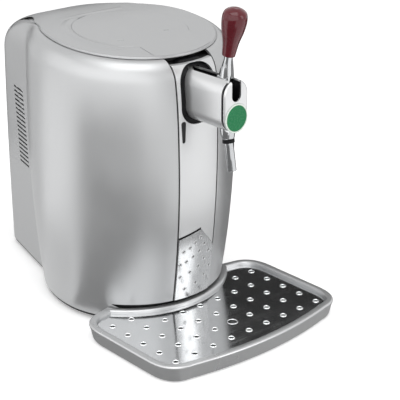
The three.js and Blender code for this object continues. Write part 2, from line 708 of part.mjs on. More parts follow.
function leverKnob() {
  const curve = new THREE.SplineCurve([
    [KNOB_NECK_R, 0], [mix(KNOB_NECK_R, KNOB_R, 0.3), 0.28 * KNOB_L],
    [mix(KNOB_NECK_R, KNOB_R, 0.82), 0.55 * KNOB_L], [KNOB_R, 0.77 * KNOB_L], [KNOB_R * 0.86, 0.92 * KNOB_L],
    [KNOB_TOP_R, 0.995 * KNOB_L], [0, KNOB_L],
  ].map(([r, z]) => new THREE.Vector2(r, KNOB_FROM + z)));
  const side = curve.getPoints(11).map(({ x, y }) => [Math.max(0, x), y]);
  const socket = STEM_NECK_R + GAP;
  const depth = KNOB_FROM + CONE_L + GAP;
  const room = [[0, depth], [socket, depth]];
  const profile = [[socket, KNOB_FROM], ...side.slice(0, -1), [0, KNOB_FROM + KNOB_L], ...room];
  return lever(turned(profile, { sides: 16 }));
}

// Outlet: a dark cone, a ring and a clear spout on the hose's slant
function slanted(profile) {
  const turn = new THREE.Matrix4().makeRotationX(-nozzleTurn).setPosition(0, NOZZLE_Y, NOZZLE_TOP_Z);
  return turned(profile, { sides: 16 }).transform(turn.elements);
}
const coneEnd = CONE_L + ARM_T;
function nozzleCone() {
  return slanted([[0, 0], [CONE_R, 0], [CONE_R, -CONE_L / 2], [RING_R, -coneEnd], [0, -coneEnd]])
    .subtract(pushed(stadium(GAP), CAP_FRONT_Y - OVERRUN, ARM_BACK_Y))
    .subtract(hoseRoom);
}
const ringTop = -coneEnd - GAP;
const nozzleRing = () => slanted([
  [TUBE_R + GAP, ringTop], [RING_R, ringTop], [RING_R, ringTop - RING_L], [TUBE_R + GAP, ringTop - RING_L],
]);
const nozzleTube = () => slanted([
  [TUBE_R - TUBE_WALL, ringTop], [TUBE_R, ringTop],
  [TUBE_TIP_R, ringTop - TUBE_L], [TUBE_TIP_R - TUBE_WALL, ringTop - TUBE_L],
]);

// Chamber: aluminium cup, foam jacket with a window for the cold block, and the deck round the mouth
const blockY = CHAMBER_R + LINER_T + GAP;
const moduleY = SINK_Y - MODULE_T - GAP;
const blockWindow = spanBox(-BLOCK_W / 2 - GAP, BLOCK_W / 2 + GAP, 0, SINK_Y + OVERRUN, COOLER_Z - BLOCK_H / 2 - GAP,
  COOLER_Z + BLOCK_H / 2 + GAP);
const linerOut = CHAMBER_R + LINER_T;

function chamberLiner() {
  const floor = LINER_FLOOR_Z;
  const lip = linerOut + LINER_LIP - LINER_T;
  return turned([
    [0, floor - LINER_T], [linerOut, floor - LINER_T],
    [linerOut, LINER_RIM_Z - LINER_T], [lip, LINER_RIM_Z - LINER_T],
    [lip, LINER_RIM_Z], [CHAMBER_R, LINER_RIM_Z], [CHAMBER_R, floor], [0, floor],
  ], { sides: 32 });
}

function insulationJacket() {
  const inside = linerOut + GAP;
  const outside = inside + FOAM_T;
  const floor = LINER_FLOOR_Z - LINER_T - GAP;
  const top = LINER_RIM_Z - LINER_T - GAP;
  return turned([
    [0, floor - FOAM_T], [outside, floor - FOAM_T], [outside, top], [inside, top], [inside, floor], [0, floor],
  ], { sides: 32 }).subtract(blockWindow).subtract(spanBox(-SINK_W, SINK_W, moduleY, BELLY_R, 0, BODY_TOP));
}

const notch = CONNECTOR_W / 2 + GAP;
function topDeck() {
  return lining.intersect(leaningSlab(DECK_TOP_Z - DECK_T, DECK_TOP_Z, -BELLY_R, CHAMBER_R + DECK_T))
    .subtract(upright(CHAMBER_R + MOUTH_T + GAP, 0, BODY_TOP + OVERRUN, 0, 0, 32))
    .subtract(spanBox(-notch, notch, -BELLY_R, 0, 0, BODY_TOP))
    .subtract(pushed(tapArch(BEZEL_T + GAP), -BELLY_R, bezelBackY + GAP));
}

// Collar of the mouth, between the cup's rim and the deck's top
function mouthRing() {
  return upright(CHAMBER_R + MOUTH_T, LINER_RIM_Z + GAP, BODY_TOP, 0, 0, 32)
    .intersect(leaningSlab(0, DECK_TOP_Z, -BELLY_R, BELLY_R))
    .subtract(upright(CHAMBER_R, 0, BODY_TOP + OVERRUN, 0, 0, 32))
    .subtract(spanBox(-notch, notch, -BELLY_R, 0, 0, BODY_TOP));
}

function connector() {
  return box(CONNECTOR_W, CONNECTOR_L, CONNECTOR_H, 0, connectorY, CONNECTOR_Z);
}

// Hinge cowl: the dark cover behind the deck, with two knuckles for the lid's pin
const cowlFrom = CHAMBER_R + DECK_T + GAP;
function knuckle(x, grow = 0) {
  const reach = KNUCKLE_L / 2 + grow;
  return crosswise(KNUCKLE_R + grow, x - reach, x + reach, HINGE_Y, HINGE_Z);
}
const bothSides = (make) => make(1).add(make(-1));
const pinBore = crosswise(HINGE_PIN_R + GAP, -BELLY_R, BELLY_R, HINGE_Y, HINGE_Z);

function hingeCowl() {
  const cover = lining.intersect(belowSeam(LID_SEAM_Z - SEAM))
    .subtract(belowSeam(LID_SEAM_Z - COWL_T))
    .intersect(halfSpace(-BELLY_R, BELLY_R, cowlFrom, HINGE_Y - KNUCKLE_R));
  const foot = (x) => spanBox(x - KNUCKLE_L / 2, x + KNUCKLE_L / 2, HINGE_Y - 3 * KNUCKLE_R, HINGE_Y,
    HINGE_Z - 2 * KNUCKLE_R, HINGE_Z);
  return cover.subtract(hingeRoom)
    .add(bothSides((side) => knuckle(side * KNUCKLE_COWL_X).add(foot(side * KNUCKLE_COWL_X))))
    .subtract(pinBore);
}

const pinReach = KNUCKLE_COWL_X + KNUCKLE_L / 2;
const hingePin = () => crosswise(HINGE_PIN_R, -pinReach, pinReach, HINGE_Y, HINGE_Z);

// Lid: a thin leaning cap over barrel and tail, with a soft ridge and an inset middle
const rimPoint = (radius, angle) => [radius * Math.sin(angle), -radius * Math.cos(angle)];
const lidTopZ = (y) => BODY_TOP + topRise(y);

function inlayShape(grow) {
  const radius = PANEL_DISC_R + grow;
  const corners = [TONGUE_IN_X, TONGUE_OUT_X].map((xs) => [xs[0] - grow, xs[1] + grow]);
  const toward = (x, r) => [x, -Math.sqrt(r * r - x * x)];
  const shape = new THREE.Shape();
  const [inLeft, inRight] = corners[0].map((x) => toward(x, radius));
  const [outLeft, outRight] = corners[1].map((x) => toward(x, RIM_R - 2 * LID_EDGE + grow));
  shape.moveTo(...outLeft);
  const bow = RIM_R - 2 * LID_EDGE + grow;
  shape.absarc(0, 0, bow, Math.atan2(outLeft[1], outLeft[0]), Math.atan2(outRight[1], outRight[0]));
  shape.lineTo(...inRight);
  shape.absarc(0, 0, radius, Math.atan2(inRight[1], inRight[0]), Math.atan2(inLeft[1], inLeft[0]) + 2 * Math.PI);
  return shape;
}

// A layer along the lid's rising top within an outline, from one height over it to another
const TOP_STEPS = [-1, -0.5, -0.2, 0.1, 0.3, 0.5, 0.75, 1].map((share) => share * RIM_R);
function topLayer(shape, low, high, curveSegments = 14) {
  const geometry = new THREE.ExtrudeGeometry(shape, { depth: BODY_TOP, bevelEnabled: false, curveSegments });
  const along = (height) => TOP_STEPS.map((y) => [y, lidTopZ(y) + height]);
  return solid(geometry.translate(0, 0, BODY_TOP / 2))
    .intersect(acrossPrism([...along(low), ...along(high).reverse()]));
}

function ridge() {
  const steps = 24;
  const rings = Array.from({ length: steps + 1 }, (_, i) => {
    const angle = rad(RIDGE_START + (RIDGE_SWEEP * i) / steps) + Math.PI / 2;
    const fade = Math.max(0.05, Math.sin(Math.PI * Math.min(1, 3 * Math.min(i, steps - i) / steps) / 2));
    const arch = arc(0, 0, 1, 0, Math.PI, 4).map(([u, v]) => [u * RIDGE_W / 2 * fade, v * RIDGE_H * fade]);
    const base = [[-RIDGE_W / 2 * fade, -LID_EDGE], [RIDGE_W / 2 * fade, -LID_EDGE]];
    return [...arch, ...base].map(([r, z]) => {
      const [x, y] = rimPoint(RIDGE_R + r, angle);
      return new THREE.Vector3(x, y, lidTopZ(y) + z);
    });
  });
  return rings;
}

function lidShell() {
  const cap = outer.subtract(belowSeam(LID_SEAM_Z + SEAM / 2));
  const hollow = bodyForm(WALL).intersect(halfSpace(-BELLY_R, BELLY_R, LINING_R + WALL, 2 * TAIL_END_Y));
  const tail = halfSpace(-BELLY_R, BELLY_R, HINGE_Y, 2 * TAIL_END_Y)
    .subtract(crosswise(HINGE_CLEAR_R - 2 * GAP, -BELLY_R, BELLY_R, HINGE_Y, HINGE_Z));
  const cheeks = bothSides((side) => spanBox(
    side * KNUCKLE_LID_X - KNUCKLE_L / 2, side * KNUCKLE_LID_X + KNUCKLE_L / 2,
    HINGE_Y - KNUCKLE_R, HINGE_Y + KNUCKLE_R, HINGE_Z, HINGE_Z + HINGE_CLEAR_R))
    .intersect(outer.translate([0, 0, -LID_EDGE]));
  return largest(cap.subtract(hollow).subtract(tail)
    .add(loft(ridge()))
    .subtract(topLayer(inlayShape(GAP), -PANEL_INLAY, OVERRUN))
    .subtract(bothSides((side) => knuckle(side * KNUCKLE_COWL_X, 2 * GAP)))
    .add(cheeks).add(bothSides((side) => knuckle(side * KNUCKLE_LID_X)))
    .subtract(pinBore));
}

const lightSeat = (x, grow) => {
  const shape = new THREE.Shape();
  shape.absarc(x - (LIGHT_L - LIGHT_W) / 2, LIGHT_Y, LIGHT_W / 2 + grow, Math.PI / 2, 1.5 * Math.PI);
  shape.absarc(x + (LIGHT_L - LIGHT_W) / 2, LIGHT_Y, LIGHT_W / 2 + grow, -Math.PI / 2, Math.PI / 2);
  return shape;
};

function lidPanel() {
  const seats = LIGHT_X.map((x) => topLayer(lightSeat(x, GAP), -OVERRUN, OVERRUN, 3));
  return topLayer(inlayShape(0), GAP - PANEL_INLAY, GAP).subtract(wasm.Manifold.union(seats));
}

const statusLight = (x) => topLayer(lightSeat(x, 0), GAP - PANEL_INLAY, GAP, 3);

// Lining with the foam plug that reaches into the mouth, and the gasket that meets the deck
const liningTop = LINING_TOP_Z;
function lidLining() {
  const under = liningTop - LINING_T;
  const seat = under + GASKET_W / 2;
  return turned([
    [0, liningTop + LINING_CROWN], [LINING_R, liningTop], [LINING_R, seat], [GASKET_R - GASKET_W, seat],
    [GASKET_R - GASKET_W, under], [PLUG_R + LINER_LIP, under], [PLUG_R, under - LINER_LIP],
    [PLUG_R - LINER_LIP, under - PLUG_T], [0, under - PLUG_T],
  ], { lean: true, sides: 32 });
}

function lidGasket() {
  const top = liningTop - LINING_T + GASKET_W / 2 - GAP;
  const inside = GASKET_R - GASKET_W + GAP;
  const bottom = DECK_TOP_Z + GAP;
  return turned([
    [inside, top], [GASKET_R, top], [GASKET_R, bottom],
    [mix(inside, GASKET_R, 0.6), bottom], [inside, mix(bottom, top, 0.4)],
  ], { lean: true, sides: 32 });
}

// Cooler: cold block on the cup, thermoelectric module, finned sink and its fan
function coldBlock() {
  return spanBox(-BLOCK_W / 2, BLOCK_W / 2, 0, moduleY - GAP, COOLER_Z - BLOCK_H / 2, COOLER_Z + BLOCK_H / 2)
    .subtract(upright(linerOut + GAP, 0, BODY_TOP, 0, 0, 32));
}

const coolerModule = () => box(MODULE_W, MODULE_T, MODULE_W, 0, moduleY + MODULE_T / 2, COOLER_Z);

function heatSink() {
  const base = spanBox(-SINK_W / 2, SINK_W / 2, SINK_Y, SINK_Y + SINK_BASE_T,
    COOLER_Z - SINK_H / 2, COOLER_Z + SINK_H / 2);
  const pitch = (SINK_W - FIN_T) / (FIN_COUNT - 1);
  const fins = Array.from({ length: FIN_COUNT }, (_, i) => {
    const x = -SINK_W / 2 + FIN_T / 2 + i * pitch;
    const middleY = SINK_Y + (SINK_D + SINK_BASE_T - GAP) / 2;
    return box(FIN_T, SINK_D - SINK_BASE_T + GAP, SINK_H, x, middleY, COOLER_Z);
  });
  return wasm.Manifold.union([base, ...fins]);
}

const fanY = SINK_Y + SINK_D + GAP;
const fanWeb = FAN_T / 8;
function fanFrame() {
  const arms = [0, 1, 2, 3].map((i) => solid(new THREE.BoxGeometry(FAN_BORE_R + GAP, fanWeb, fanWeb)
    .translate((FAN_BORE_R + GAP) / 2, 0, 0).rotateY(Math.PI / 4 + (i * Math.PI) / 2)
    .translate(0, fanY + FAN_T - fanWeb / 2, COOLER_Z)));
  return box(FAN_W, FAN_T, FAN_W, 0, fanY + FAN_T / 2, COOLER_Z)
    .subtract(lengthwise(FAN_BORE_R, fanY - OVERRUN, fanY + FAN_T + OVERRUN, 0, COOLER_Z, 40))
    .add(wasm.Manifold.union(arms))
    .add(lengthwise(FAN_HUB_R, fanY + FAN_T - fanWeb, fanY + FAN_T, 0, COOLER_Z, 24))
    .add(lengthwise(PIN_R, fanY + FAN_T / 2, fanY + FAN_T - fanWeb / 2, 0, COOLER_Z, 12));
}

// Each blade is a short loft whose chord turns from hub to tip
function fanBlade(front, back) {
  const tip = FAN_BORE_R - BLADE_GAP;
  const stations = [
    [FAN_HUB_R - BLADE_GAP, BLADE_PITCH],
    [mix(FAN_HUB_R, tip, 0.5), 0.8 * BLADE_PITCH], [tip, 0.6 * BLADE_PITCH],
  ];
  return loft(stations.map(([radius, degrees]) => {
    const pitch = rad(degrees);
    const chord = (0.8 * (back - front)) / Math.sin(pitch);
    const corners = [[-chord / 2, 0], [0, -BLADE_T], [chord / 2, 0], [0, BLADE_T / 2]];
    return corners.map(([along, off]) => {
      const angle = (along * Math.cos(pitch) - off * Math.sin(pitch)) / radius;
      const axial = along * Math.sin(pitch) + off * Math.cos(pitch);
      const [x, z] = [radius * Math.sin(angle), COOLER_Z + radius * Math.cos(angle)];
      return new THREE.Vector3(x, (front + back) / 2 + axial, z);
    });
  }));
}

const spun = (body, angle) => body.transform(new THREE.Matrix4().makeTranslation(0, 0, COOLER_Z)
  .multiply(new THREE.Matrix4().makeRotationY(angle))
  .multiply(new THREE.Matrix4().makeTranslation(0, 0, -COOLER_Z)).elements);

function fanRotor() {
  const front = fanY + fanWeb;
  const back = fanY + FAN_T - fanWeb - GAP;
  const hub = lengthwise(FAN_HUB_R, front, back, 0, COOLER_Z, 24)
    .subtract(lengthwise(PIN_R + GAP, fanY + FAN_T / 2 - GAP, back + OVERRUN, 0, COOLER_Z, 12));
  const blades = Array.from({ length: FAN_BLADES },
    (_, i) => spun(fanBlade(front, back), (2 * Math.PI * i) / FAN_BLADES));
  return wasm.Manifold.union([hub, ...blades]);
}

// Rear cover with the fan's outlet, the mains inlet and the rocker
const rearSpan = [REAR_FROM_Y, TAIL_END_Y + OVERRUN];
function rearHole(w, h, z, grow = 0) {
  return spanBox(-w / 2 - grow, w / 2 + grow, ...rearSpan, z - h / 2 - grow, z + h / 2 + grow);
}

function rearCover() {
  const slots = Array.from({ length: OUTLET_COUNT },
    (_, i) => rearHole(OUTLET_W, OUTLET_H, OUTLET_Z + i * OUTLET_PITCH));
  return largest(skin.intersect(halfSpace(-rearHalf + GAP / 2, rearHalf - GAP / 2, FLANK_Y, 2 * TAIL_END_Y))
    .subtract(wasm.Manifold.union(slots))
    .subtract(rearHole(INLET_W, INLET_H, INLET_Z, GAP))
    .subtract(rearHole(SWITCH_W, SWITCH_H, SWITCH_Z, GAP)));
}

// The rear wall's outer face at a height, on the middle plane
const rearFace = (z) => halfSection(z, 0).at(-1)[1];
const boxedBehind = (w, h, z, depth) => {
  const face = rearFace(z + h / 2) - GAP;
  return spanBox(-w / 2, w / 2, face - depth, face, z - h / 2, z + h / 2);
};

function mainsInlet() {
  const face = rearFace(INLET_Z + INLET_H / 2);
  const floor = face - INLET_D + WALL;
  const pins = bothSides(
    (side) => lengthwise(PIN_R / 2, floor - GAP, face - 2 * WALL, (side * INLET_W) / 7, INLET_Z, 10));
  const cavity = spanBox(-INLET_W / 2 + WALL, INLET_W / 2 - WALL, floor, face + OVERRUN,
    INLET_Z - INLET_H / 2 + WALL, INLET_Z + INLET_H / 2 - WALL);
  return boxedBehind(INLET_W, INLET_H, INLET_Z, INLET_D).subtract(cavity).add(pins);
}

const switchY = rearFace(SWITCH_Z + SWITCH_H / 2) - SWITCH_D / 2;
function switchFrame() {
  const halfW = SWITCH_W / 2 - SWITCH_RIM;
  const halfH = SWITCH_H / 2 - SWITCH_RIM;
  const floor = switchY - SWITCH_D / 2 + WALL;
  const axleEnd = halfW + SWITCH_RIM / 2;
  return boxedBehind(SWITCH_W, SWITCH_H, SWITCH_Z, SWITCH_D)
    .subtract(spanBox(-halfW, halfW, floor, TAIL_END_Y + OVERRUN, SWITCH_Z - halfH, SWITCH_Z + halfH))
    .add(crosswise(SWITCH_RIM / 2, -axleEnd, axleEnd, switchY, SWITCH_Z, 12));
}

// The rocker is a wedge on its axle, one end proud and the other sunk
function powerSwitch() {
  const width = SWITCH_W - 2 * SWITCH_RIM - 2 * GAP;
  const wingL = SWITCH_H / 2 - SWITCH_RIM - 3 * GAP;
  const reach = SWITCH_D / 2;
  const wing = rad(SWITCH_TILT);
  const tipY = reach - wingL * Math.sin(wing);
  const tipZ = wingL * Math.cos(wing);
  const points = [
    [-SWITCH_RIM, -wingL / 2], [tipY, -tipZ], [reach, 0], [tipY, tipZ], [-SWITCH_RIM, wingL / 2],
  ];
  const shape = new THREE.Shape(points.map(([y, z]) => new THREE.Vector2(y, z)));
  const axes = [new THREE.Vector3(0, 1, 0), new THREE.Vector3(0, 0, 1), new THREE.Vector3(1, 0, 0)];
  const geometry = new THREE.ExtrudeGeometry(shape, { depth: width, bevelEnabled: false })
    .applyMatrix4(new THREE.Matrix4().makeBasis(...axes));
  return solid(geometry.translate(-width / 2, 0, 0).rotateX(wing).translate(0, switchY, SWITCH_Z))
    .subtract(crosswise(SWITCH_RIM / 2 + GAP, -SWITCH_W, SWITCH_W, switchY, SWITCH_Z, 12));
}

// Floor pan, feet and electronics
const panTop = FOOT_H + PAN_T;
const boardZ = panTop + POST_H;
const jacketFloorZ = LINER_FLOOR_Z - LINER_T - GAP - FOAM_T;
function posts(places, top) {
  return wasm.Manifold.union(places.map(([x, y]) => upright(POST_R, panTop - GAP, top, x, y, 12)));
}

function corners(w, l, y) {
  const ways = [[-1, -1], [1, -1], [1, 1], [-1, 1]];
  return ways.map(([i, j]) => [i * (w / 2 - POST_R), y + j * (l / 2 - POST_R)]);
}

function basePan() {
  const wallR = TUCK_R - GAP;
  const front = upright(wallR, FOOT_H, PANEL_BOTTOM_Z + FOOT_H, 0, TUCK_Y, 48)
    .subtract(upright(wallR - WALL, 0, BODY_TOP, 0, TUCK_Y, 48))
    .intersect(halfSpace(-BELLY_R, BELLY_R, -2 * BELLY_R, -CHAMBER_R / 2));
  const floor = spanBox(-BELLY_R, BELLY_R, -BELLY_R, TAIL_END_Y, FOOT_H, panTop);
  const ribFoot = panTop - GAP;
  const ribTop = jacketFloorZ - GAP;
  const ring = turned([[RIB_R, ribFoot], [RIB_R, ribTop], [RIB_R - WALL, ribTop], [RIB_R - WALL, ribFoot]],
    { sides: 24 });
  return front.add(floor).intersect(lining).intersect(upright(wallR, 0, BODY_TOP, 0, TUCK_Y, 48)
    .add(halfSpace(-BELLY_R, BELLY_R, 0, TAIL_END_Y)))
    .add(ring)
    .add(posts(corners(CONTROL_W, CONTROL_L, CONTROL_Y), boardZ - GAP))
    .add(posts(corners(SUPPLY_W, SUPPLY_L, SUPPLY_Y), boardZ - GAP))
    .subtract(wasm.Manifold.union(FOOT_PLACES.map(
      ([x, y]) => upright(FOOT_STEM_R + GAP, 0, panTop + OVERRUN, x, y, 8))));
}

const foot = ([x, y]) => upright(FOOT_R, 0, FOOT_H - GAP, x, y, 16)
  .add(upright(FOOT_STEM_R, FOOT_H - 2 * GAP, panTop + GAP, x, y, 8));

const circuit = (w, l, y) => spanBox(-w / 2, w / 2, y - l / 2, y + l / 2, boardZ, boardZ + BOARD_T);

function controlBoard() {
  const top = boardZ + BOARD_T;
  const [relayL, chipL] = [CONTROL_L / 4, CONTROL_L / 6];
  const relay = spanBox(-CONTROL_W / 2 + 3 * POST_R, -POST_R, CONTROL_Y - relayL, CONTROL_Y + relayL,
    top - GAP, top + RELAY_H);
  const chip = spanBox(POST_R, CONTROL_W / 4, CONTROL_Y - chipL, CONTROL_Y + chipL, top - GAP, top + BOARD_T);
  return circuit(CONTROL_W, CONTROL_L, CONTROL_Y).add(relay).add(chip);
}

const supplyBoard = () => circuit(SUPPLY_W, SUPPLY_L, SUPPLY_Y);

// Wound core on the supply board, with its bobbin standing between the two legs of the core
function transformer() {
  const low = boardZ + BOARD_T + GAP;
  const [coreL, coilL] = CORE_SHARES.map((share) => share * SUPPLY_L);
  const core = spanBox(-SUPPLY_W / 3, SUPPLY_W / 3, SUPPLY_Y - coreL, SUPPLY_Y + coreL, low, low + SUPPLY_H);
  const coil = spanBox(-SUPPLY_W / 5, SUPPLY_W / 5, SUPPLY_Y - coilL, SUPPLY_Y + coilL,
    low + SUPPLY_H / 6, low + COIL_TOP_SHARE * SUPPLY_H);
  return core.add(coil);
}

// Drip tray: one outline, drawn in for the rim, the ledge and the sump
function trayOutline(inset) {
  const side = TRAY_W / 2;
  const [cornerX, cornerY] = TRAY_FRONT_CORNER;
  const [shoulderX, shoulderY] = TRAY_SHOULDER;
  const bow = TRAY_FRONT_Y + TRAY_FRONT_R;
  const swing = Math.asin(cornerX / TRAY_FRONT_R);
  const frontY = bow - TRAY_FRONT_R * Math.cos(swing);
  const reach = rad(TUCK_ANGLE);
  const shape = new THREE.Shape();
  shape.absarc(0, bow, TRAY_FRONT_R, -Math.PI / 2 - swing, -Math.PI / 2 + swing);
  shape.quadraticCurveTo(side, TRAY_CORNER_CTRL_Y, side, cornerY);
  shape.lineTo(side, TRAY_SIDE_Y);
  shape.quadraticCurveTo(side, shoulderY - TRAY_RIM_W / 2, shoulderX, shoulderY);
  shape.absarc(0, TUCK_Y, TUCK_R + SEAM, reach - Math.PI / 2, -reach - Math.PI / 2, true);
  shape.lineTo(-shoulderX, shoulderY);
  shape.quadraticCurveTo(-side, shoulderY - TRAY_RIM_W / 2, -side, TRAY_SIDE_Y);
  shape.lineTo(-side, cornerY);
  shape.quadraticCurveTo(-side, TRAY_CORNER_CTRL_Y, -cornerX, frontY);
  const points = shape.getPoints(TRAY_STEPS)
    .filter((p, i, all) => p.distanceTo(all[(i + 1) % all.length]) > GAP);
  const normal = (a, b) => new THREE.Vector2(a.y - b.y, b.x - a.x).normalize();
  return points.map((p, i) => {
    const before = normal(points.at(i - 1), p);
    const after = normal(p, points[(i + 1) % points.length]);
    return p.clone().addScaledVector(before.clone().add(after), inset / (1 + before.dot(after)));
  });
}
function trayForm(levels) {
  return loft(levels.map(([z, inset]) => trayOutline(inset).map(({ x, y }) => new THREE.Vector3(x, y, z))));
}

function dripTray() {
  const floor = TRAY_LIFT + TRAY_FLOOR_T;
  const seat = GRID_Z - GRID_T - GAP;
  const rim = (TRAY_H - GRID_Z) / 2;
  const tuckEnd = TUCK_Y - TUCK_R;
  const tongue = spanBox(-TONGUE_W / 2, TONGUE_W / 2, tuckEnd - TRAY_RIM_W, tuckEnd + TONGUE_L,
    TRAY_LIFT, floor);
  const props = [-2, 2].flatMap((column) => [1, 3].map((row) => upright(POST_R, floor - GAP, seat,
    column * GRID_PITCH, GRID_FIRST_Y - (row + 0.5) * GRID_PITCH, 12)));
  return trayForm([
    [TRAY_LIFT, TRAY_FLARE], [TRAY_LIFT + rim, TRAY_FLARE - rim / 2],
    [TRAY_H - rim, GAP], [TRAY_H - rim / 2, 0],
    [TRAY_H - GAP, rim / 3], [TRAY_H, rim],
  ])
    .subtract(trayForm([
      [seat, TRAY_RIM_W], [TRAY_H - rim / 2, TRAY_RIM_W], [TRAY_H + GAP, TRAY_RIM_W - rim / 2],
    ]))
    .subtract(trayForm([[floor, TRAY_RIM_W + LEDGE_W + TRAY_FLARE / 2], [seat + GAP, TRAY_RIM_W + LEDGE_W]]))
    .add(wasm.Manifold.union(props)).add(tongue);
}

function dripGrid() {
  const holes = [];
  for (let row = 0; row < 5; row += 1) {
    for (let column = -4; column <= 4; column += 1) {
      const drain = row === 3 && column === 0;
      if (row > 0 || Math.abs(column) > 2) {
        holes.push(upright(drain ? DRAIN_D / 2 : GRID_HOLE_D / 2, 0, TRAY_H + OVERRUN, column * GRID_PITCH,
          GRID_FIRST_Y - row * GRID_PITCH, drain ? 12 : 6));
      }
    }
  }
  return trayForm([[GRID_Z - GRID_T, TRAY_RIM_W + GAP], [GRID_Z, TRAY_RIM_W + GAP]])
    .subtract(wasm.Manifold.union(holes));
}

const trayPad = (y) => spanBox(-PAD_W / 2, PAD_W / 2, y - PAD_L / 2, y + PAD_L / 2, 0, TRAY_LIFT - GAP);

// The model, each piece in the finish of the real one
const model = new THREE.Group();
function piece(name, body, material) {
  const mesh = new THREE.Mesh(geometryOf(body), material);
  mesh.name = name;
  model.add(mesh);
}

piece('base_pan', basePan(), BLACK);
['front_left', 'front_right', 'rear_left', 'rear_right'].forEach((place, i) => {
  piece(`foot_${place}`, foot(FOOT_PLACES[i]), RUBBER);
});
piece('left_shell', shellHalf(-1), SILVER);
piece('right_shell', shellHalf(1), SILVER);
piece('rear_cover', rearCover(), DARK_GREY);
piece('front_panel', frontPanel(), PALE_SILVER);
piece('tap_bezel', tapBezel(), BLACK);
piece('splash_plate', splashPlate(), STEEL);

piece('arm_housing', armHousing().subtract(hoseRoom), PALE_SILVER);
piece('arm_liner', armLiner(), BLACK);
piece('arm_cap', armCap(), PALE_SILVER);
piece('badge_disc', badge(), GREEN);
const leverPinReach = ARM_W / 2 - ARM_T - GAP;
piece('lever_pin', crosswise(PIN_R, -leverPinReach, leverPinReach, PIVOT_Y, PIVOT_Z), STEEL);
piece('lever_stem', leverStem(), CHROME);
piece('lever_knob', leverKnob(), RED);

piece('keg_connector', connector(), WHITE);
piece('beer_tube', hose(HOSE_R), CLEAR);
piece('nozzle_cone', nozzleCone(), BLACK);
piece('nozzle_ring', nozzleRing(), BLACK);
piece('nozzle_tube', nozzleTube(), CLEAR);

piece('chamber_liner', chamberLiner(), ALUMINIUM);
piece('insulation_jacket', insulationJacket(), FOAM);
piece('mouth_ring', mouthRing(), BLACK);
piece('top_deck', topDeck(), BLACK);
piece('hinge_cowl', hingeCowl(), DARK_GREY);
piece('lid_hinge_pin', hingePin(), STEEL);
piece('lid_shell', lidShell(), SILVER);
piece('lid_panel', lidPanel(), SILVER);
piece('status_light_left', statusLight(LIGHT_X[0]), WHITE);
piece('status_light_right', statusLight(LIGHT_X[1]), WHITE);
piece('lid_lining', lidLining(), DARK_GREY);
piece('lid_gasket', lidGasket(), RUBBER);

piece('cold_block', coldBlock(), ALUMINIUM);
piece('peltier_module', coolerModule(), WHITE);
piece('heat_sink', heatSink(), ALUMINIUM);
piece('fan_frame', fanFrame(), BLACK);
piece('fan_rotor', fanRotor(), BLACK);
piece('control_board', controlBoard(), BOARD_GREEN);
piece('supply_board', supplyBoard(), BOARD_GREEN);
piece('transformer', transformer(), DARK_GREY);
piece('mains_inlet', mainsInlet(), BLACK);
piece('switch_frame', switchFrame(), BLACK);
piece('power_switch', powerSwitch(), BLACK);

piece('drip_tray', dripTray(), PALE_SILVER);
piece('drip_grid', dripGrid(), STEEL);
piece('tray_pad_rear', trayPad(GRID_FIRST_Y - GRID_PITCH), RUBBER);
piece('tray_pad_front', trayPad(GRID_FIRST_Y - 4 * GRID_PITCH), RUBBER);

// The whole stands centred on its footprint
const bounds = new THREE.Box3().setFromObject(model);
model.position.set(0, -(bounds.min.y + bounds.max.y) / 2, 0);

export default model;
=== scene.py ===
# Mini keg beer dispenser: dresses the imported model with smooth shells, embossed steel and finishes.
# Pieces are drawn in millimetres from the barrel's axis, as the part's source does, and placed in metres.
import bpy
import bmesh
import math
import numpy as np
from mathutils import Matrix, Vector


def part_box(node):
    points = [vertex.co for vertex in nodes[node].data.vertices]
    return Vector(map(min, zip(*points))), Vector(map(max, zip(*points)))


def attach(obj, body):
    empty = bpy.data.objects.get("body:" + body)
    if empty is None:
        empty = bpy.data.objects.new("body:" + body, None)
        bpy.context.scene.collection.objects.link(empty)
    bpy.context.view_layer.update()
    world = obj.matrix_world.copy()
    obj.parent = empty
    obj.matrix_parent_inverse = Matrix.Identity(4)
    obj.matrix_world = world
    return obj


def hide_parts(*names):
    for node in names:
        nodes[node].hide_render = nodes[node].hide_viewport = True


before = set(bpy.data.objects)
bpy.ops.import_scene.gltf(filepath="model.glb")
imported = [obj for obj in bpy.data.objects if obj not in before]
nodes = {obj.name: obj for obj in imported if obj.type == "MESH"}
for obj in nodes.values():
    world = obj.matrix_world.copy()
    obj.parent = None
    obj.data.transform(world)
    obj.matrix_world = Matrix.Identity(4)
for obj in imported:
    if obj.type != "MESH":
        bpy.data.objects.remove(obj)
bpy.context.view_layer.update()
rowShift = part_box("drip_tray")[0][1] * 1000 + 251.1   # the row is centred on its footprint, the drawing on the barrel

# Camera, matched to the photograph's view of the barrel and tray
photo = {"lens": 116.7, "spot": (-0.9650, -1.1919, 0.7459), "back": (-0.6190, -0.6892, 0.3766)}
cameraData = bpy.data.cameras.new("photoCamera")
cameraData.lens = photo["lens"]
cameraData.sensor_width = 36
photoCamera = bpy.data.objects.new("photoCamera", cameraData)
bpy.context.collection.objects.link(photoCamera)
backward = Vector(photo["back"]).normalized()
sideways = Vector((-backward.y, backward.x, 0)).normalized()
upward = backward.cross(sideways)
facing = Matrix((sideways, upward, backward)).transposed().to_4x4()
photoCamera.matrix_world = Matrix.Translation(photo["spot"]) @ facing
bpy.context.scene.camera = photoCamera


# Shader maths on sockets, so that a mask reads as a sum
class Flow:
    def __init__(self, maker, socket):
        self.maker = maker
        self.socket = socket

    def mathWith(self, operation, other):
        return self.maker.node("ShaderNodeMath", {"operation": operation}, {0: self, 1: other})

    def __add__(self, other): return self.mathWith("ADD", other)
    def __mul__(self, other): return self.mathWith("MULTIPLY", other)

    def band(self, low, high, start, end):
        return self.maker.node("ShaderNodeMapRange", {"interpolation_type": "SMOOTHSTEP"},
                               {0: self, 1: low, 2: high, 3: start, 4: end})


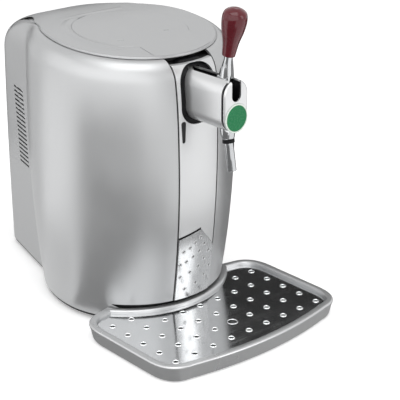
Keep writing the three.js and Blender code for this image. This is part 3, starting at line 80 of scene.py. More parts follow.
class Finish:
    def __init__(self, name, color, roughness=0.5, metallic=0.0):
        self.material = bpy.data.materials.new(name)
        self.material.use_nodes = True
        self.material.diffuse_color = (*color, 1)
        self.tree = self.material.node_tree
        self.shader = self.tree.nodes["Principled BSDF"]
        self.color = color
        self.plain("Base Color", (*color, 1))
        self.plain("Roughness", roughness)
        self.plain("Metallic", metallic)
        self.place = self.node("ShaderNodeTexCoord", outlet="Object")

    def node(self, kind, settings=None, values=None, outlet=0):
        made = self.tree.nodes.new(kind)
        for key, value in (settings or {}).items():
            setattr(made, key, value)
        for key, value in (values or {}).items():
            if isinstance(value, Flow):
                self.tree.links.new(value.socket, made.inputs[key])
            else:
                made.inputs[key].default_value = value
        return Flow(self, made.outputs[outlet])

    def plain(self, name, value):
        self.shader.inputs[name].default_value = value
        return self

    def feed(self, name, flow):
        self.tree.links.new(flow.socket, self.shader.inputs[name])

    def noise(self, scale, detail, stretch=(1, 1, 1)):
        spot = self.node("ShaderNodeMapping", values={"Vector": self.place, "Scale": stretch})
        return self.node("ShaderNodeTexNoise", values={"Vector": spot, "Scale": scale, "Detail": detail})

    def blend(self, mask, low, high):
        return self.node("ShaderNodeMix", {"data_type": "RGBA"}, {0: mask, 6: (*low, 1), 7: (*high, 1)}, outlet=2)

    def shade(self, factor):
        return tuple(min(1, c * factor) for c in self.color)

    def relief(self, height, strength, distance, edge=0.0):   # edge is the radius that shading gives to the edges
        values = {"Height": height, "Strength": strength, "Distance": distance}
        if edge:
            values["Normal"] = self.node("ShaderNodeBevel", {"samples": 6}, {"Radius": edge})
        self.feed("Normal", self.node("ShaderNodeBump", values=values))


# Finishes, each with its own grain and unevenness
finishes = {}


def lacquer(name, color, roughness, metallic, edge=0.0006):
    made = Finish(name, color, roughness, metallic)
    cloud = made.noise(9, 3)
    flake = made.noise(2600, 1)
    made.feed("Base Color", made.blend(cloud * 0.5 + flake * 0.5, made.shade(0.93), made.shade(1.06)))
    made.feed("Roughness", cloud.band(0.3, 0.7, roughness - 0.03, roughness + 0.05))
    made.relief(flake, 0.035, 0.0002, edge)
    finishes[name] = made.material


def moulded(name, color, roughness, grain=900, depth=0.12, edge=0.0005, **sockets):
    made = Finish(name, color, roughness)
    speck = made.noise(grain, 3)
    cloud = made.noise(14, 2)
    made.feed("Base Color", made.blend(cloud * 0.6 + speck * 0.4, made.shade(0.85), made.shade(1.18)))
    made.feed("Roughness", speck.band(0.3, 0.7, roughness - 0.05, roughness + 0.07))
    made.relief(speck, depth, 0.0003, edge)
    for socket, value in sockets.items():
        made.plain(socket, value)
    finishes[name] = made.material


def metal(name, color, roughness, stretch=(1, 1, 1), grain=700, depth=0.05, edge=0.0003):
    made = Finish(name, color, roughness, 1.0)
    streak = made.noise(grain, 2, stretch)
    cloud = made.noise(25, 2)
    made.feed("Base Color", made.blend(cloud, made.shade(0.93), made.shade(1.05)))
    made.feed("Roughness", (streak * 0.6 + cloud * 0.4).band(0.3, 0.7, roughness * 0.8, roughness * 1.25 + 0.02))
    made.relief(streak, depth, 0.0002, edge)
    finishes[name] = made.material


lacquer("silverShell", (0.46, 0.465, 0.47), 0.36, 0.75)
lacquer("silverFront", (0.60, 0.605, 0.61), 0.34, 0.7)
lacquer("silverTray", (0.56, 0.565, 0.57), 0.3, 0.75)
lacquer("silverLid", (0.44, 0.445, 0.45), 0.36, 0.7)
lacquer("silverArm", (0.62, 0.625, 0.63), 0.3, 0.75)
moulded("rearGrey", (0.09, 0.09, 0.095), 0.55)
moulded("blackTrim", (0.006, 0.006, 0.007), 0.3, depth=0.03, **{"Specular IOR Level": 0.12})
moulded("blackMatte", (0.014, 0.014, 0.015), 0.55, **{"Specular IOR Level": 0.25})
moulded("rubberBlack", (0.018, 0.018, 0.018), 0.8, 400, 0.2)
moulded("foamWhite", (0.82, 0.81, 0.76), 0.9, 260, 0.5)
moulded("whitePlastic", (0.75, 0.75, 0.72), 0.4)
moulded("lampLens", (0.40, 0.41, 0.41), 0.2, 300, 0.05, **{"Specular IOR Level": 0.3})
moulded("circuitGreen", (0.02, 0.14, 0.05), 0.4, 500, 0.3)
moulded("knobRed", (0.10, 0.002, 0.008), 0.25, 300, 0.0, 0.0,
        **{"Specular IOR Level": 0.15, "Coat Weight": 0.6, "Coat Roughness": 0.05})
moulded("badgeGreen", (0.003, 0.17, 0.055), 0.25, 500, 0.02, **{"Specular IOR Level": 0.25})
moulded("badgeRim", (0.70, 0.78, 0.71), 0.3, 500, 0.02)
metal("mirrorSteel", (0.52, 0.525, 0.53), 0.22, (1, 1, 0.02))
metal("gridSteel", (0.81, 0.82, 0.83), 0.12, (0.03, 1, 1), 500)
metal("spoutSteel", (0.48, 0.49, 0.50), 0.1, depth=0.02)
metal("chromeStem", (0.56, 0.57, 0.58), 0.07, depth=0.01)
metal("pinSteel", (0.55, 0.56, 0.57), 0.25, (0.05, 1, 1))
metal("linerAluminium", (0.66, 0.67, 0.68), 0.3, (1, 1, 0.02))
metal("sinkAluminium", (0.58, 0.60, 0.62), 0.42, (1, 1, 0.05))
metal("coreSteel", (0.14, 0.12, 0.115), 0.45, (1, 1, 0.02), 260, 0.3)
hose = Finish("hoseClear", (0.80, 0.82, 0.80), 0.25)
hose.plain("Transmission Weight", 0.5).plain("IOR", 1.46)
hose.relief(hose.noise(300, 2), 0.03, 0.0003)
finishes["hoseClear"] = hose.material
print("finishes ready", len(finishes))


# Drawing tools
def placed(points):
    return ((np.asarray(points, float) + (0, rowShift, 0)) / 1000).tolist()


def shapeFrom(name, points, faces):
    mesh = bpy.data.meshes.new(name)
    mesh.from_pydata(placed(points), [], faces)
    form = bmesh.new()
    form.from_mesh(mesh)
    bmesh.ops.remove_doubles(form, verts=form.verts, dist=1e-6)
    bmesh.ops.recalc_face_normals(form, faces=form.faces)
    if form.calc_volume(signed=True) < 0:
        bmesh.ops.reverse_faces(form, faces=form.faces)
    form.to_mesh(mesh)
    form.free()
    made = bpy.data.objects.new(name, mesh)
    bpy.context.collection.objects.link(made)
    return made


def loftForm(name, rings):
    count = len(rings[0])
    faces = []
    for level in range(len(rings) - 1):
        low, high = level * count, (level + 1) * count
        faces += [(low + i, low + (i + 1) % count, high + (i + 1) % count, high + i) for i in range(count)]
    faces += [tuple(range(count)), tuple(range((len(rings) - 1) * count, len(rings) * count))]
    return shapeFrom(name, np.concatenate(rings), faces)


def turnedForm(name, profile, steps=96, place=None):
    angles = np.linspace(0, 2 * np.pi, steps, endpoint=False)
    points = np.array([(r * math.cos(a), r * math.sin(a), z) for a in angles for r, z in profile])
    count = len(profile)
    if place:
        points = np.array([place(p) for p in points])
    faces = []
    for turn in range(steps):
        here, there = turn * count, ((turn + 1) % steps) * count
        for i in range(count):
            j = (i + 1) % count
            if profile[i][0] or profile[j][0]:
                quad = (here + i, there + i, there + j, here + j)
                if not profile[i][0]:
                    quad = (quad[0], quad[2], quad[3])
                elif not profile[j][0]:
                    quad = quad[:3]
                faces.append(quad)
    return shapeFrom(name, points, faces)


def prismForm(name, outline, start, end, along="y"):
    order = {"x": lambda a, b, c: (c, a, b), "y": lambda a, b, c: (a, c, b), "z": lambda a, b, c: (a, b, c)}[along]
    return loftForm(name, [np.array([order(a, b, c) for a, b in outline]) for c in (start, end)])


def boxForm(x0, x1, y0, y1, z0, z1):
    return prismForm("box", [(x0, y0), (x1, y0), (x1, y1), (x0, y1)], z0, z1, "z")


def room(x0=-200, x1=200, y0=-200, y1=300, z0=-20, z1=500):   # a box that reaches past the body where it is left open
    return boxForm(x0, x1, y0, y1, z0, z1)


def circle(radius, a=0, b=0, steps=48):
    return [(a + radius * math.cos(t), b + radius * math.sin(t)) for t in np.linspace(0, 2 * np.pi, steps, False)]


def arc(cx, cy, radius, start, end, steps):
    return [(cx + radius * math.cos(t), cy + radius * math.sin(t)) for t in np.linspace(start, end, steps + 1)]


def bake(made):
    shaped = bpy.data.meshes.new_from_object(made.evaluated_get(bpy.context.evaluated_depsgraph_get()))
    made.modifiers.clear()
    made.data = shaped


def carve(target, *tools, how="DIFFERENCE"):
    for tool in tools:
        change = target.modifiers.new("carve", "BOOLEAN")
        change.operation, change.solver, change.object = how, "MANIFOLD", tool
        bake(target)
        bpy.data.objects.remove(tool)
    return target


def copyOf(source, name):
    made = bpy.data.objects.new(name, source.data.copy())
    bpy.context.collection.objects.link(made)
    return made


def dress(piece, body, finish, slotName, *replaced, angle=30):
    mesh = piece.data
    mesh.materials.clear()
    mesh.materials.append(finishes[finish])
    mesh.shade_smooth()
    mesh.set_sharp_from_angle(angle=math.radians(angle))
    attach(piece, body)
    if replaced:
        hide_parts(*replaced)


# Body: the same bellied barrel and tapering tail as the part's solids, with fine sections
gap, seam, overrun = 0.3, 0.8, 20
shell = {"footZ": 8, "wall": 2.5, "topZ": 347.3, "rimZ": 345.3, "bellyZ": 217, "baseR": 108, "bellyR": 128,
         "rimR": 104, "bellyPower": 2, "bendZ": 322, "bendShare": 0.72, "slope": 0.1, "levelSlope": 0.12, "levelY": 40,
         "levelSoft": 25, "edge": 0.8, "cheekR": 135, "cheekExtra": 30, "neckR": 45, "neckExtra": 35, "flankY": 130,
         "flankBase": 63, "flankLean": 12.8, "shoulderW": 10.9, "shoulderZ": 295, "flankTaper": 14.6, "endY": 233,
         "endLean": 20.5, "crownR": 56, "crownL": 120, "cornerR": 19, "cornerExtra": 34, "cornerY": 70, "levels": 64,
         "lastShare": 0.995, "levelPower": 1.7, "hubY": 12, "topShares": (1, 0.96, 0.88, 0.76, 0.62, 0.46, 0.3, 0.15)}
lidSeam = {"z": 345, "bendY": 85, "fall": 11.8, "gape": 3.4}
hinge = {"y": 160, "z": 327.5, "clearR": 11.5, "roomR": 14.4, "bossR": 6.4, "sweep": (-25, 100), "middle": 44,
         "bossX": (44.5, 130)}
hingeSpot = (hinge["y"], hinge["z"])
tuck = {"radius": 117, "y": 11.6, "topZ": 27}


def smoothStep(t):
    t = min(1, max(0, t))
    return t * t * (3 - 2 * t)


def riseAt(z):
    return min(1, max(0, (z - shell["bellyZ"]) / (shell["rimZ"] - shell["bellyZ"])))


def barrelRadius(z):
    if z < shell["bellyZ"]:
        narrowing = ((shell["bellyZ"] - z) / shell["bellyZ"]) ** shell["bellyPower"]
        return shell["bellyR"] - (shell["bellyR"] - shell["baseR"]) * narrowing
    bend = min(1, max(0, z - shell["bendZ"]) / (shell["rimZ"] - shell["bendZ"]))
    blend = shell["bendShare"]
    drop = (1 - blend) * riseAt(z) ** 3 + blend * (1 - math.sqrt(1 - bend ** 2))
    return shell["bellyR"] - (shell["bellyR"] - shell["rimR"]) * drop


def topRise(y):
    past = y - shell["levelY"]
    return shell["slope"] * y - shell["levelSlope"] * (past + math.hypot(past, shell["levelSoft"])) / 2


def halfSection(z, inset):
    s = shell
    share = z / s["topZ"]
    radius = barrelRadius(z)
    cheek = s["cheekR"] + s["cheekExtra"] * (1 - share) ** 3
    neck = s["neckR"] + s["neckExtra"] * share ** 6
    taper = math.radians(s["flankTaper"])
    shoulder = max(0, z - s["shoulderZ"]) / (s["topZ"] - s["shoulderZ"])
    flank = s["flankBase"] + s["flankLean"] * share - s["shoulderW"] * shoulder ** 3
    wall = math.cos(taper) * flank + math.sin(taper) * s["flankY"]
    crown = max(0, z - (s["topZ"] - s["crownR"])) / s["crownR"]
    end = s["endY"] - s["endLean"] * share - s["crownL"] * (1 - math.sqrt(1 - min(1, crown) ** 2))
    corner = min(s["cornerR"] + s["cornerExtra"] * share ** 2, end - s["cornerY"])
    cheekX = radius - cheek
    reach = wall + neck - math.cos(taper) * cheekX
    climb = math.sqrt((cheek + neck) ** 2 - reach ** 2)
    neckX = cheekX + math.cos(taper) * reach - math.sin(taper) * climb
    neckY = math.sin(taper) * reach + math.cos(taper) * climb
    turn = math.atan2(neckY, neckX - cheekX)
    cornerY = end - corner
    cornerX = (wall - corner - math.sin(taper) * cornerY) / math.cos(taper)
    spare = (neckY - cornerY - corner * math.sin(taper)) / neck   # the crown can cut the neck short
    neckEnd = max(taper, math.asin(min(1, max(-1, spare))))
    return (arc(0, 0, radius - inset, -math.pi / 2, 0, 44) + arc(cheekX, 0, cheek - inset, 0, turn, 16)[1:-1]
            + arc(neckX, neckY, neck + inset, turn + math.pi, neckEnd + math.pi, 12)
            + arc(cornerX, cornerY, corner - inset, taper, math.pi / 2, 18) + [(0, end - inset)])


def section(z, inset=0, sink=0):
    right = halfSection(z, inset)
    ring = right + [(-x, y) for x, y in right[1:-1][::-1]]
    lean = smoothStep(riseAt(z))
    return np.array([(x, y, z - sink + lean * topRise(y)) for x, y in ring])


def bodyForm(name, inset=0):
    shares = 1 - (1 - np.linspace(0, shell["lastShare"], shell["levels"])) ** shell["levelPower"]
    levels = shell["footZ"] + (shell["topZ"] - shell["footZ"]) * shares
    rings = [section(z, inset, inset * smoothStep(riseAt(z))) for z in levels]
    if inset > 0:
        rings.insert(0, section(shell["footZ"], inset, overrun))
    edge = section(shell["topZ"], inset + shell["edge"], inset)
    for share in shell["topShares"]:
        inY = shell["hubY"] + share * (edge[:, 1] - shell["hubY"])
        rings.append(np.column_stack([edge[:, 0] * share, inY, [shell["topZ"] - inset + topRise(y) for y in inY]]))
    return loftForm(name, rings)


def sideCut(name, points):
    return prismForm(name, points, -160, 160, "x")


seamYs = [-160, -20] + list(range(0, 166, 5)) + [260]   # where the seam's line is drawn


def seamHeight(y, z, gape):
    share = min(1, max(0, y - lidSeam["bendY"]) / (hinge["y"] - lidSeam["bendY"]))
    return z + topRise(y) - lidSeam["fall"] * share ** 3 - gape * math.sin(math.pi * share)


def belowSeam(z, gape=0):
    return sideCut("below", [(-160, -overrun), (260, -overrun)] + [(y, seamHeight(y, z, gape)) for y in seamYs[::-1]])


def aboveSeam(z, gape=0):
    return sideCut("above", [(y, seamHeight(y, z, gape)) for y in seamYs] + [(260, 600), (-160, 600)])


archSet = {"half": 26, "top": 328, "bottom": 257, "corner": 20}


def tapArch(grow=0, steps=12):
    corner = archSet["corner"]
    x, high, low = archSet["half"] + grow - corner, archSet["top"] + grow - corner, archSet["bottom"] - grow + corner
    corners = ((x, low), (x, high), (-x, high), (-x, low))
    return [p for i, (cx, cz) in enumerate(corners)
            for p in arc(cx, cz, corner, (i - 1) * math.pi / 2, i * math.pi / 2, steps)]


def tuckRoom(radius):
    step = prismForm("step", circle(radius, 0, tuck["y"], 128), -2 * overrun, 3 * overrun, "z")
    return carve(boxForm(-130, 130, -150, 0, -overrun, tuck["topZ"]), step)


skin = carve(bodyForm("skin"), bodyForm("hollow", shell["wall"]))
lidSweep = arc(*hingeSpot, hinge["roomR"], *map(math.radians, hinge["sweep"]), 24)
skin = carve(skin, tuckRoom(tuck["radius"]), aboveSeam(lidSeam["z"] - seam / 2, lidSeam["gape"]),
             prismForm("hingeRoom", [hingeSpot] + lidSweep, -hinge["bossX"][1], hinge["bossX"][1], "x"),
             prismForm("hingeMiddle", circle(hinge["roomR"], *hingeSpot), -hinge["middle"], hinge["middle"], "x"))
print("body skin", len(skin.data.polygons))

ventSet = {"count": 18, "pitch": 6.1, "height": 2.8, "firstZ": 145, "wallX": (40, 140), "wallY": (134, 166)}
front = {"topHalf": 32, "footHalf": 28, "bottomZ": tuck["topZ"], "topZ": 339.5, "seam": 2.0}
niche = {"x": -24, "top": 259.5, "foot": 238.2, "radius": 3.2, "footR": 2.1, "depth": 1.6, "lining": (0.7, 1.7)}
rear = {"width": 68, "fromY": 130, "innerY": 165}

for side in (-1, 1):
    reach = sorted(side * x for x in hinge["bossX"])
    boss = prismForm("hingeBoss", circle(hinge["bossR"], *hingeSpot), *reach, "x")
    carve(boss, bodyForm("bossEnd", gap), how="INTERSECT")
    dress(boss, "body", "silverShell", "silver_shell")

# A thin lip behind the gaping part of the lid's seam
lip = {"inset": 0.05, "thick": 0.2, "above": 1, "below": 3, "fromY": 86}
seamLip = carve(bodyForm("seamLip", shell["wall"] + lip["inset"]),
                bodyForm("lipBack", shell["wall"] + lip["inset"] + lip["thick"]))
carve(seamLip, aboveSeam(lidSeam["z"] + lip["above"]), belowSeam(lidSeam["z"] - lip["below"], lidSeam["gape"]),
      room(y1=lip["fromY"]), room(y0=hinge["y"] - hinge["roomR"]))
dress(seamLip, "body", "silverShell", "silver_shell")

# A dark skirt under the shells' edge: painted shade for the shadow line at the foot
skirt = {"low": 4.8, "inset": 1.4, "wall": 2.6, "tuckR": 115}


def shadeBandForm(inset, low, high):
    return prismForm("skirt", section(shell["footZ"], inset)[:, :2], low, high, "z")


footShadeBand = carve(shadeBandForm(skirt["inset"], skirt["low"], shell["footZ"] - gap / 3),
                  shadeBandForm(skirt["inset"] + skirt["wall"], 0, overrun), tuckRoom(skirt["tuckR"]))
dress(footShadeBand, "body", "blackMatte", "black_matte")


def panelHalf(z):
    return front["footHalf"] + (front["topHalf"] - front["footHalf"]) * z / shell["topZ"]


def panelSlab(grow, footZ=0, topZ=420):
    low, high = panelHalf(footZ) + grow, panelHalf(topZ) + grow
    return prismForm("slab", [(-low, footZ), (low, footZ), (high, topZ), (-high, topZ)], -200, 0)


def ventRooms(spec, x0, x1, y0, y1):
    middles = [spec["firstZ"] + i * spec["pitch"] for i in range(spec["count"])]
    return [boxForm(x0, x1, y0, y1, z - spec["height"] / 2, z + spec["height"] / 2) for z in middles]


back = rear["width"] / 2
for side, name, node in ((-1, "leftShell", "left_shell"), (1, "rightShell", "right_shell")):
    half = carve(copyOf(skin, name), room(x0=0) if side > 0 else room(x1=0), how="INTERSECT")
    carve(half, panelSlab(front["seam"] / 2), room(-back - gap / 2, back + gap / 2, rear["fromY"]),
          *ventRooms(ventSet, *sorted(side * x for x in ventSet["wallX"]), *ventSet["wallY"]))
    dress(half, "body", "silverShell", "silver_shell", node)

frontPanel = carve(copyOf(skin, "frontPanel"), panelSlab(-front["seam"] / 2, front["bottomZ"]), how="INTERSECT")
browY, browZ = -200, front["topZ"] - 200 * shell["slope"]
carve(frontPanel, sideCut("brow", [(browY, browZ), (0, front["topZ"]), (0, 600), (browY, 600)]),
      prismForm("arch", tapArch(), -200, 0))

# Painted shade: a black strip behind the front panel's seams makes the gaps read dark
seamShadeSet = {"front": 1.3, "back": 2.4, "topZ": (336, 318)}   # inset in the seams, and its top at y -200 and 0
seamBacking = carve(bodyForm("seamBacking", seamShadeSet["front"]), bodyForm("seamDepth", seamShadeSet["back"]))
underBrow = sideCut("below", [(-200, -20), (0, -20), (0, seamShadeSet["topZ"][1]), (-200, seamShadeSet["topZ"][0])])
carve(seamBacking, panelSlab(front["seam"] / 2, front["bottomZ"]), underBrow, how="INTERSECT")
carve(seamBacking, panelSlab(-front["seam"] / 2))
dress(seamBacking, "body", "blackTrim", "silver_front", "front_panel")


def nicheForm(name, grow=0):
    outline = arc(niche["x"], niche["top"], niche["radius"] + grow, 0, math.pi, 12)
    outline += arc(niche["x"], niche["foot"], niche["footR"] + grow, math.pi, 2 * math.pi, 12)
    return prismForm(name, outline, -200, -60)


carve(frontPanel, carve(nicheForm("niche"), bodyForm("nicheFloor", niche["depth"])))
dress(frontPanel, "body", "silverFront", "silver_front", "front_panel")
nicheLining = carve(nicheForm("nicheLining", gap / 2), bodyForm("liningFloor", niche["lining"][1]))
carve(nicheLining, bodyForm("liningFace", niche["lining"][0]), how="INTERSECT")
dress(nicheLining, "body", "blackMatte", "silver_front", "front_panel")

outlet = {"count": 10, "pitch": 8, "width": 52, "height": 3.4, "firstZ": 155}
sockets = {"inlet": (28, 20, 40), "switch": (20, 14, 78)}   # width, height and middle
cover = room(-back + gap / 2, back - gap / 2, rear["fromY"])
rearCover = carve(copyOf(skin, "rearCover"), cover, how="INTERSECT")
carve(rearCover, *ventRooms(outlet, -outlet["width"] / 2, outlet["width"] / 2, rear["innerY"], 300))
for wide, high, z in sockets.values():
    half, reach = wide / 2 + gap, high / 2 + gap
    carve(rearCover, room(-half, half, rear["innerY"], z0=z - reach, z1=z + reach))
dress(rearCover, "body", "rearGrey", "rear_grey", "rear_cover")
bpy.data.objects.remove(skin)
print("shells done")

# Lid: a thin leaning cap with a soft ridge round its inset middle, drawn as rings that close on the middle
lid = {"rings": 70, "ridgeR": 77, "ridgeWidth": 15, "ridgeHeight": 1.5,
       "ridgeFrom": 147, "ridgeSweep": 182, "ridgeFade": 26, "discR": 71, "inlay": 0.8, "tongueIn": (-35, 55),
       "tongueOut": (-40, 47), "fromZ": 300, "drop": 0.35, "hollowY": 102, "pinR": 2.8}
lidKnuckle = {"x": 33, "half": 6.6, "roomR": 6.1, "cheekX": 20, "cheekHalf": 6, "cheekR": 5.5}


def lidTop(y):
    return shell["topZ"] + topRise(y)


def ridgeHeight(x, y):
    off = (math.hypot(x, y) - lid["ridgeR"]) / (lid["ridgeWidth"] / 2)
    turn = (math.degrees(math.atan2(x, -y)) - lid["ridgeFrom"]) % 360   # counted as the part's source counts it
    if abs(off) >= 1 or turn > lid["ridgeSweep"]:
        return 0
    ends = smoothStep(min(turn, lid["ridgeSweep"] - turn) / lid["ridgeFade"])
    return lid["ridgeHeight"] * ends * (1 - off * off) ** 2


def lidCap(name):
    s = shell
    rings = [section(z) for z in np.linspace(lid["fromZ"], s["topZ"] - lid["drop"], 40)]
    for turn in np.linspace(0, math.pi / 2, 6)[1:]:
        inset, drop = s["edge"] * (1 - math.cos(turn)), lid["drop"] * (1 - math.sin(turn))
        rings.append(section(s["topZ"], inset) - (0, 0, drop))
    edge, hub = rings[-1], np.array([0, s["hubY"], lidTop(s["hubY"])])
    for share in 1 - np.linspace(0, 1, lid["rings"])[1:-1] ** 0.9:
        ring = hub + (edge - hub) * share
        ring[:, 2] = [lidTop(y) + ridgeHeight(x, y) for x, y, _ in ring]
        rings.append(ring)
    return loftForm(name, rings)


def inlayOutline(grow, steps=60):
    radius, bow = lid["discR"] + grow, shell["rimR"] - 2 * shell["edge"] + grow
    ins = [(x, -math.sqrt(radius ** 2 - x * x)) for x in (lid["tongueIn"][0] - grow, lid["tongueIn"][1] + grow)]
    outs = [(x, -math.sqrt(bow ** 2 - x * x)) for x in (lid["tongueOut"][0] - grow, lid["tongueOut"][1] + grow)]
    a0, a1 = (math.atan2(y, x) for x, y in outs)
    b1, b0 = (math.atan2(y, x) for x, y in ins)
    return arc(0, 0, bow, a0, a1, steps) + arc(0, 0, radius, b0, b1 + 2 * math.pi, 2 * steps)


def topLayer(outline, low, high, shares=(1,), name="layer"):
    edge, hub = np.array(outline), np.mean(outline, axis=0)
    rings = [np.array([(x, y, lidTop(y) + height) for x, y in hub + (edge - hub) * share])
             for height, steps in ((low, shares[::-1]), (high, shares)) for share in steps]
    return loftForm(name, rings)


def barAcross(radius, x0, x1, steps=32):
    return prismForm("bar", circle(radius, *hingeSpot, steps), x0, x1, "x")


broad = (1, 0.85, 0.7, 0.55, 0.4, 0.25, 0.1)
lidShell = carve(lidCap("lidShell"), belowSeam(lidSeam["z"] + seam / 2))
inside = carve(bodyForm("inside", shell["wall"]), room(y0=lid["hollowY"], z0=200), how="INTERSECT")
tail = carve(room(y0=hinge["y"], z0=200), barAcross(hinge["clearR"] - 2 * gap, -220, 220, steps=64))
carve(lidShell, inside, tail, topLayer(inlayOutline(gap), -lid["inlay"], 20, broad))
for side in (-1, 1):
    middle, half = side * lidKnuckle["x"], lidKnuckle["half"]
    carve(lidShell, barAcross(lidKnuckle["roomR"], middle - half, middle + half))
    middle, half, radius = side * lidKnuckle["cheekX"], lidKnuckle["cheekHalf"], lidKnuckle["cheekR"]
    cheek = boxForm(middle - half, middle + half, hinge["y"] - radius, hinge["y"] + radius,
                    hinge["z"], hinge["z"] + hinge["clearR"])
    carve(cheek, bodyForm("under", shell["edge"]), how="INTERSECT")
    carve(lidShell, cheek, barAcross(radius, middle - half, middle + half), how="UNION")
carve(lidShell, barAcross(lid["pinR"], -100, 100))
dress(lidShell, "lid", "silverLid", "lid_silver", "lid_shell", angle=24)

lampSet = {"y": -31, "x": (-40, 31), "length": 7, "width": 3}


def lampOutline(x, grow):
    reach, radius = (lampSet["length"] - lampSet["width"]) / 2, lampSet["width"] / 2 + grow
    return (arc(x + reach, lampSet["y"], radius, -math.pi / 2, math.pi / 2, 10)
            + arc(x - reach, lampSet["y"], radius, math.pi / 2, 1.5 * math.pi, 10))


lidPanel = topLayer(inlayOutline(0), gap - lid["inlay"], gap, broad, "lidPanel")
for x in lampSet["x"]:
    carve(lidPanel, topLayer(lampOutline(x, gap), -2, 2))
dress(lidPanel, "lid", "silverLid", "lid_silver", "lid_panel")
for side, x in zip(("left", "right"), lampSet["x"]):
    lens = topLayer(lampOutline(x, 0), gap - lid["inlay"], gap, name=f"{side}Lamp")
    dress(lens, "lid", "lampLens", "lamp_white", f"status_light_{side}")
print("lid done", len(lidShell.data.polygons))

# Tap surround, arm, badge, lever and spout
arm = {"width": 36, "wall": 2.2, "topZ": 323, "bottomZ": 261, "backY": -108, "frontY": -182.4, "noseY": -188.6,
       "shadow": 3.4, "edge": 2.0, "slotWidth": 14, "slotFootZ": 297}
badge = {"radius": 17.2, "z": 277.5, "thickness": 2, "rim": 1.9, "deep": 1.6, "sunk": 0.45}
lever = {"pivotY": -164, "pivotZ": 298, "lean": 12, "width": 12.4, "hubR": 7, "neckR": 4.6, "flareR": 8.6,
         "flareLength": 24, "pinR": 2.5, "bladeHalf": 6.75, "knobFrom": 52, "knobLength": 57, "knobR": 14.4,
         "knobNeckR": 7.4, "knobTopR": 5, "socket": 13}
spout = {"y": -173, "z": 262, "tilt": 10.5, "coneR": 9.2, "coneEnd": 12.5, "ringR": 7.3, "ringLength": 4.5,
         "tubeR": 5.6, "tipR": 5.3, "length": 38, "wall": 1.2, "hoseR": 3.1}
bezelSet = {"thick": 3, "lift": 3, "depth": (-140, -99), "slotHalf": 8.3, "slotZ": (310.7, 323.3)}


def stadium(grow=0, steps=28):
    radius = arm["width"] / 2 + grow
    return (arc(0, arm["topZ"] - arm["width"] / 2, radius, 0, math.pi, steps)
            + arc(0, arm["bottomZ"] + arm["width"] / 2, radius, math.pi, 2 * math.pi, steps))


bezel = carve(bodyForm("tapBezel", shell["wall"] + gap), bodyForm("behind", shell["wall"] + gap + bezelSet["thick"]))
carve(bezel, prismForm("arch", tapArch(bezelSet["lift"]), *bezelSet["depth"]), how="INTERSECT")
carve(bezel, prismForm("armRoom", stadium(gap), -200, 0),
      boxForm(-bezelSet["slotHalf"], bezelSet["slotHalf"], -200, 0, *bezelSet["slotZ"]))
dress(bezel, "body", "blackTrim", "black_trim", "tap_bezel")


def turnedAlongX(point, angle, y, z):
    (px, py, pz), c, s = point, math.cos(math.radians(angle)), math.sin(math.radians(angle))
    return np.array((px, y + py * c - pz * s, z + py * s + pz * c))


# The beer tube's middle line, as pairs of y and z
hosePath = [(-105.6, 317), (-108.7, 317), (-111.8, 316), (-117, 298.2), (-122.5, 287), (-133.5, 285.4),
            (-144.5, 285.4), (-160.9, 285.4), (-169.9, 282.3), (-172, 268.2), (-174.2, 255.6), (-176, 246.3)]


def hoseForm(name, radius, steps=90, sides=20):
    path = np.array(hosePath, float)
    along = np.concatenate([[0], np.cumsum(np.linalg.norm(np.diff(path, axis=0), axis=1) ** 0.5)])
    padded = np.vstack([2 * path[0] - path[1], path, 2 * path[-1] - path[-2]])
    knots = np.concatenate([[2 * along[0] - along[1]], along, [2 * along[-1] - along[-2]]])
    line = []
    for t in np.linspace(0, along[-1], steps):
        i = min(len(along) - 2, int(np.searchsorted(along, t, "right")) - 1) + 1
        span = knots[i + 1] - knots[i]
        u = (t - knots[i]) / span
        slopes = [(padded[k + 1] - padded[k - 1]) / (knots[k + 1] - knots[k - 1]) * span for k in (i, i + 1)]
        line.append((2 * u**3 - 3 * u**2 + 1) * padded[i] + (u**3 - 2 * u**2 + u) * slopes[0]
                    + (3 * u**2 - 2 * u**3) * padded[i + 1] + (u**3 - u**2) * slopes[1])
    line = np.array(line)
    ways = np.gradient(line, axis=0)
    ways /= np.linalg.norm(ways, axis=1)[:, None]
    rings = [np.array([(a, y - b * way[1], z + b * way[0]) for a, b in circle(radius, steps=sides)])
             for (y, z), way in zip(line, ways)]
    return loftForm(name, rings)


def hoseRoom():
    return hoseForm("hoseRoom", spout["hoseR"] + 2 * gap)


half = arm["slotWidth"] / 2
armHousing = carve(prismForm("armHousing", stadium(), arm["frontY"], arm["backY"]),
                   prismForm("bore", stadium(-arm["wall"]), arm["frontY"] - 1, arm["backY"] + 1),
                   boxForm(-half, half, -200, 0, lever["pivotZ"], 400), hoseRoom())
dress(armHousing, "body", "silverArm", "silver_front", "arm_housing")

noseRings = [(arm["frontY"] - arm["shadow"], 0)] + [
    (arm["noseY"] + arm["edge"] * (1 - math.sin(turn)), -arm["edge"] * (1 - math.cos(turn)))
    for turn in np.linspace(0, math.pi / 2, 9)]
armCap = loftForm("armCap", [np.array([(x, y, z) for x, z in stadium(grow - gap)]) for y, grow in noseRings])
face = arm["frontY"] - arm["shadow"] - arm["edge"]
slotOutline = [(-half, 400), (half, 400)] + arc(0, arm["slotFootZ"] + half, half, 0, -math.pi, 20)
seatOutline = circle(badge["radius"] + gap, 0, badge["z"], 96)
carve(armCap, prismForm("capBore", stadium(-arm["wall"]), arm["noseY"] + arm["edge"], face + overrun),
      prismForm("slot", slotOutline, arm["noseY"] - 5, face + overrun),
      prismForm("badgeSeat", seatOutline, -260, arm["noseY"] + badge["thickness"] / 2), hoseRoom())
dress(armCap, "body", "silverArm", "silver_front", "arm_cap")


def onFace(point):
    return point[0], arm["noseY"] - badge["thickness"] / 2 + point[2], badge["z"] + point[1]


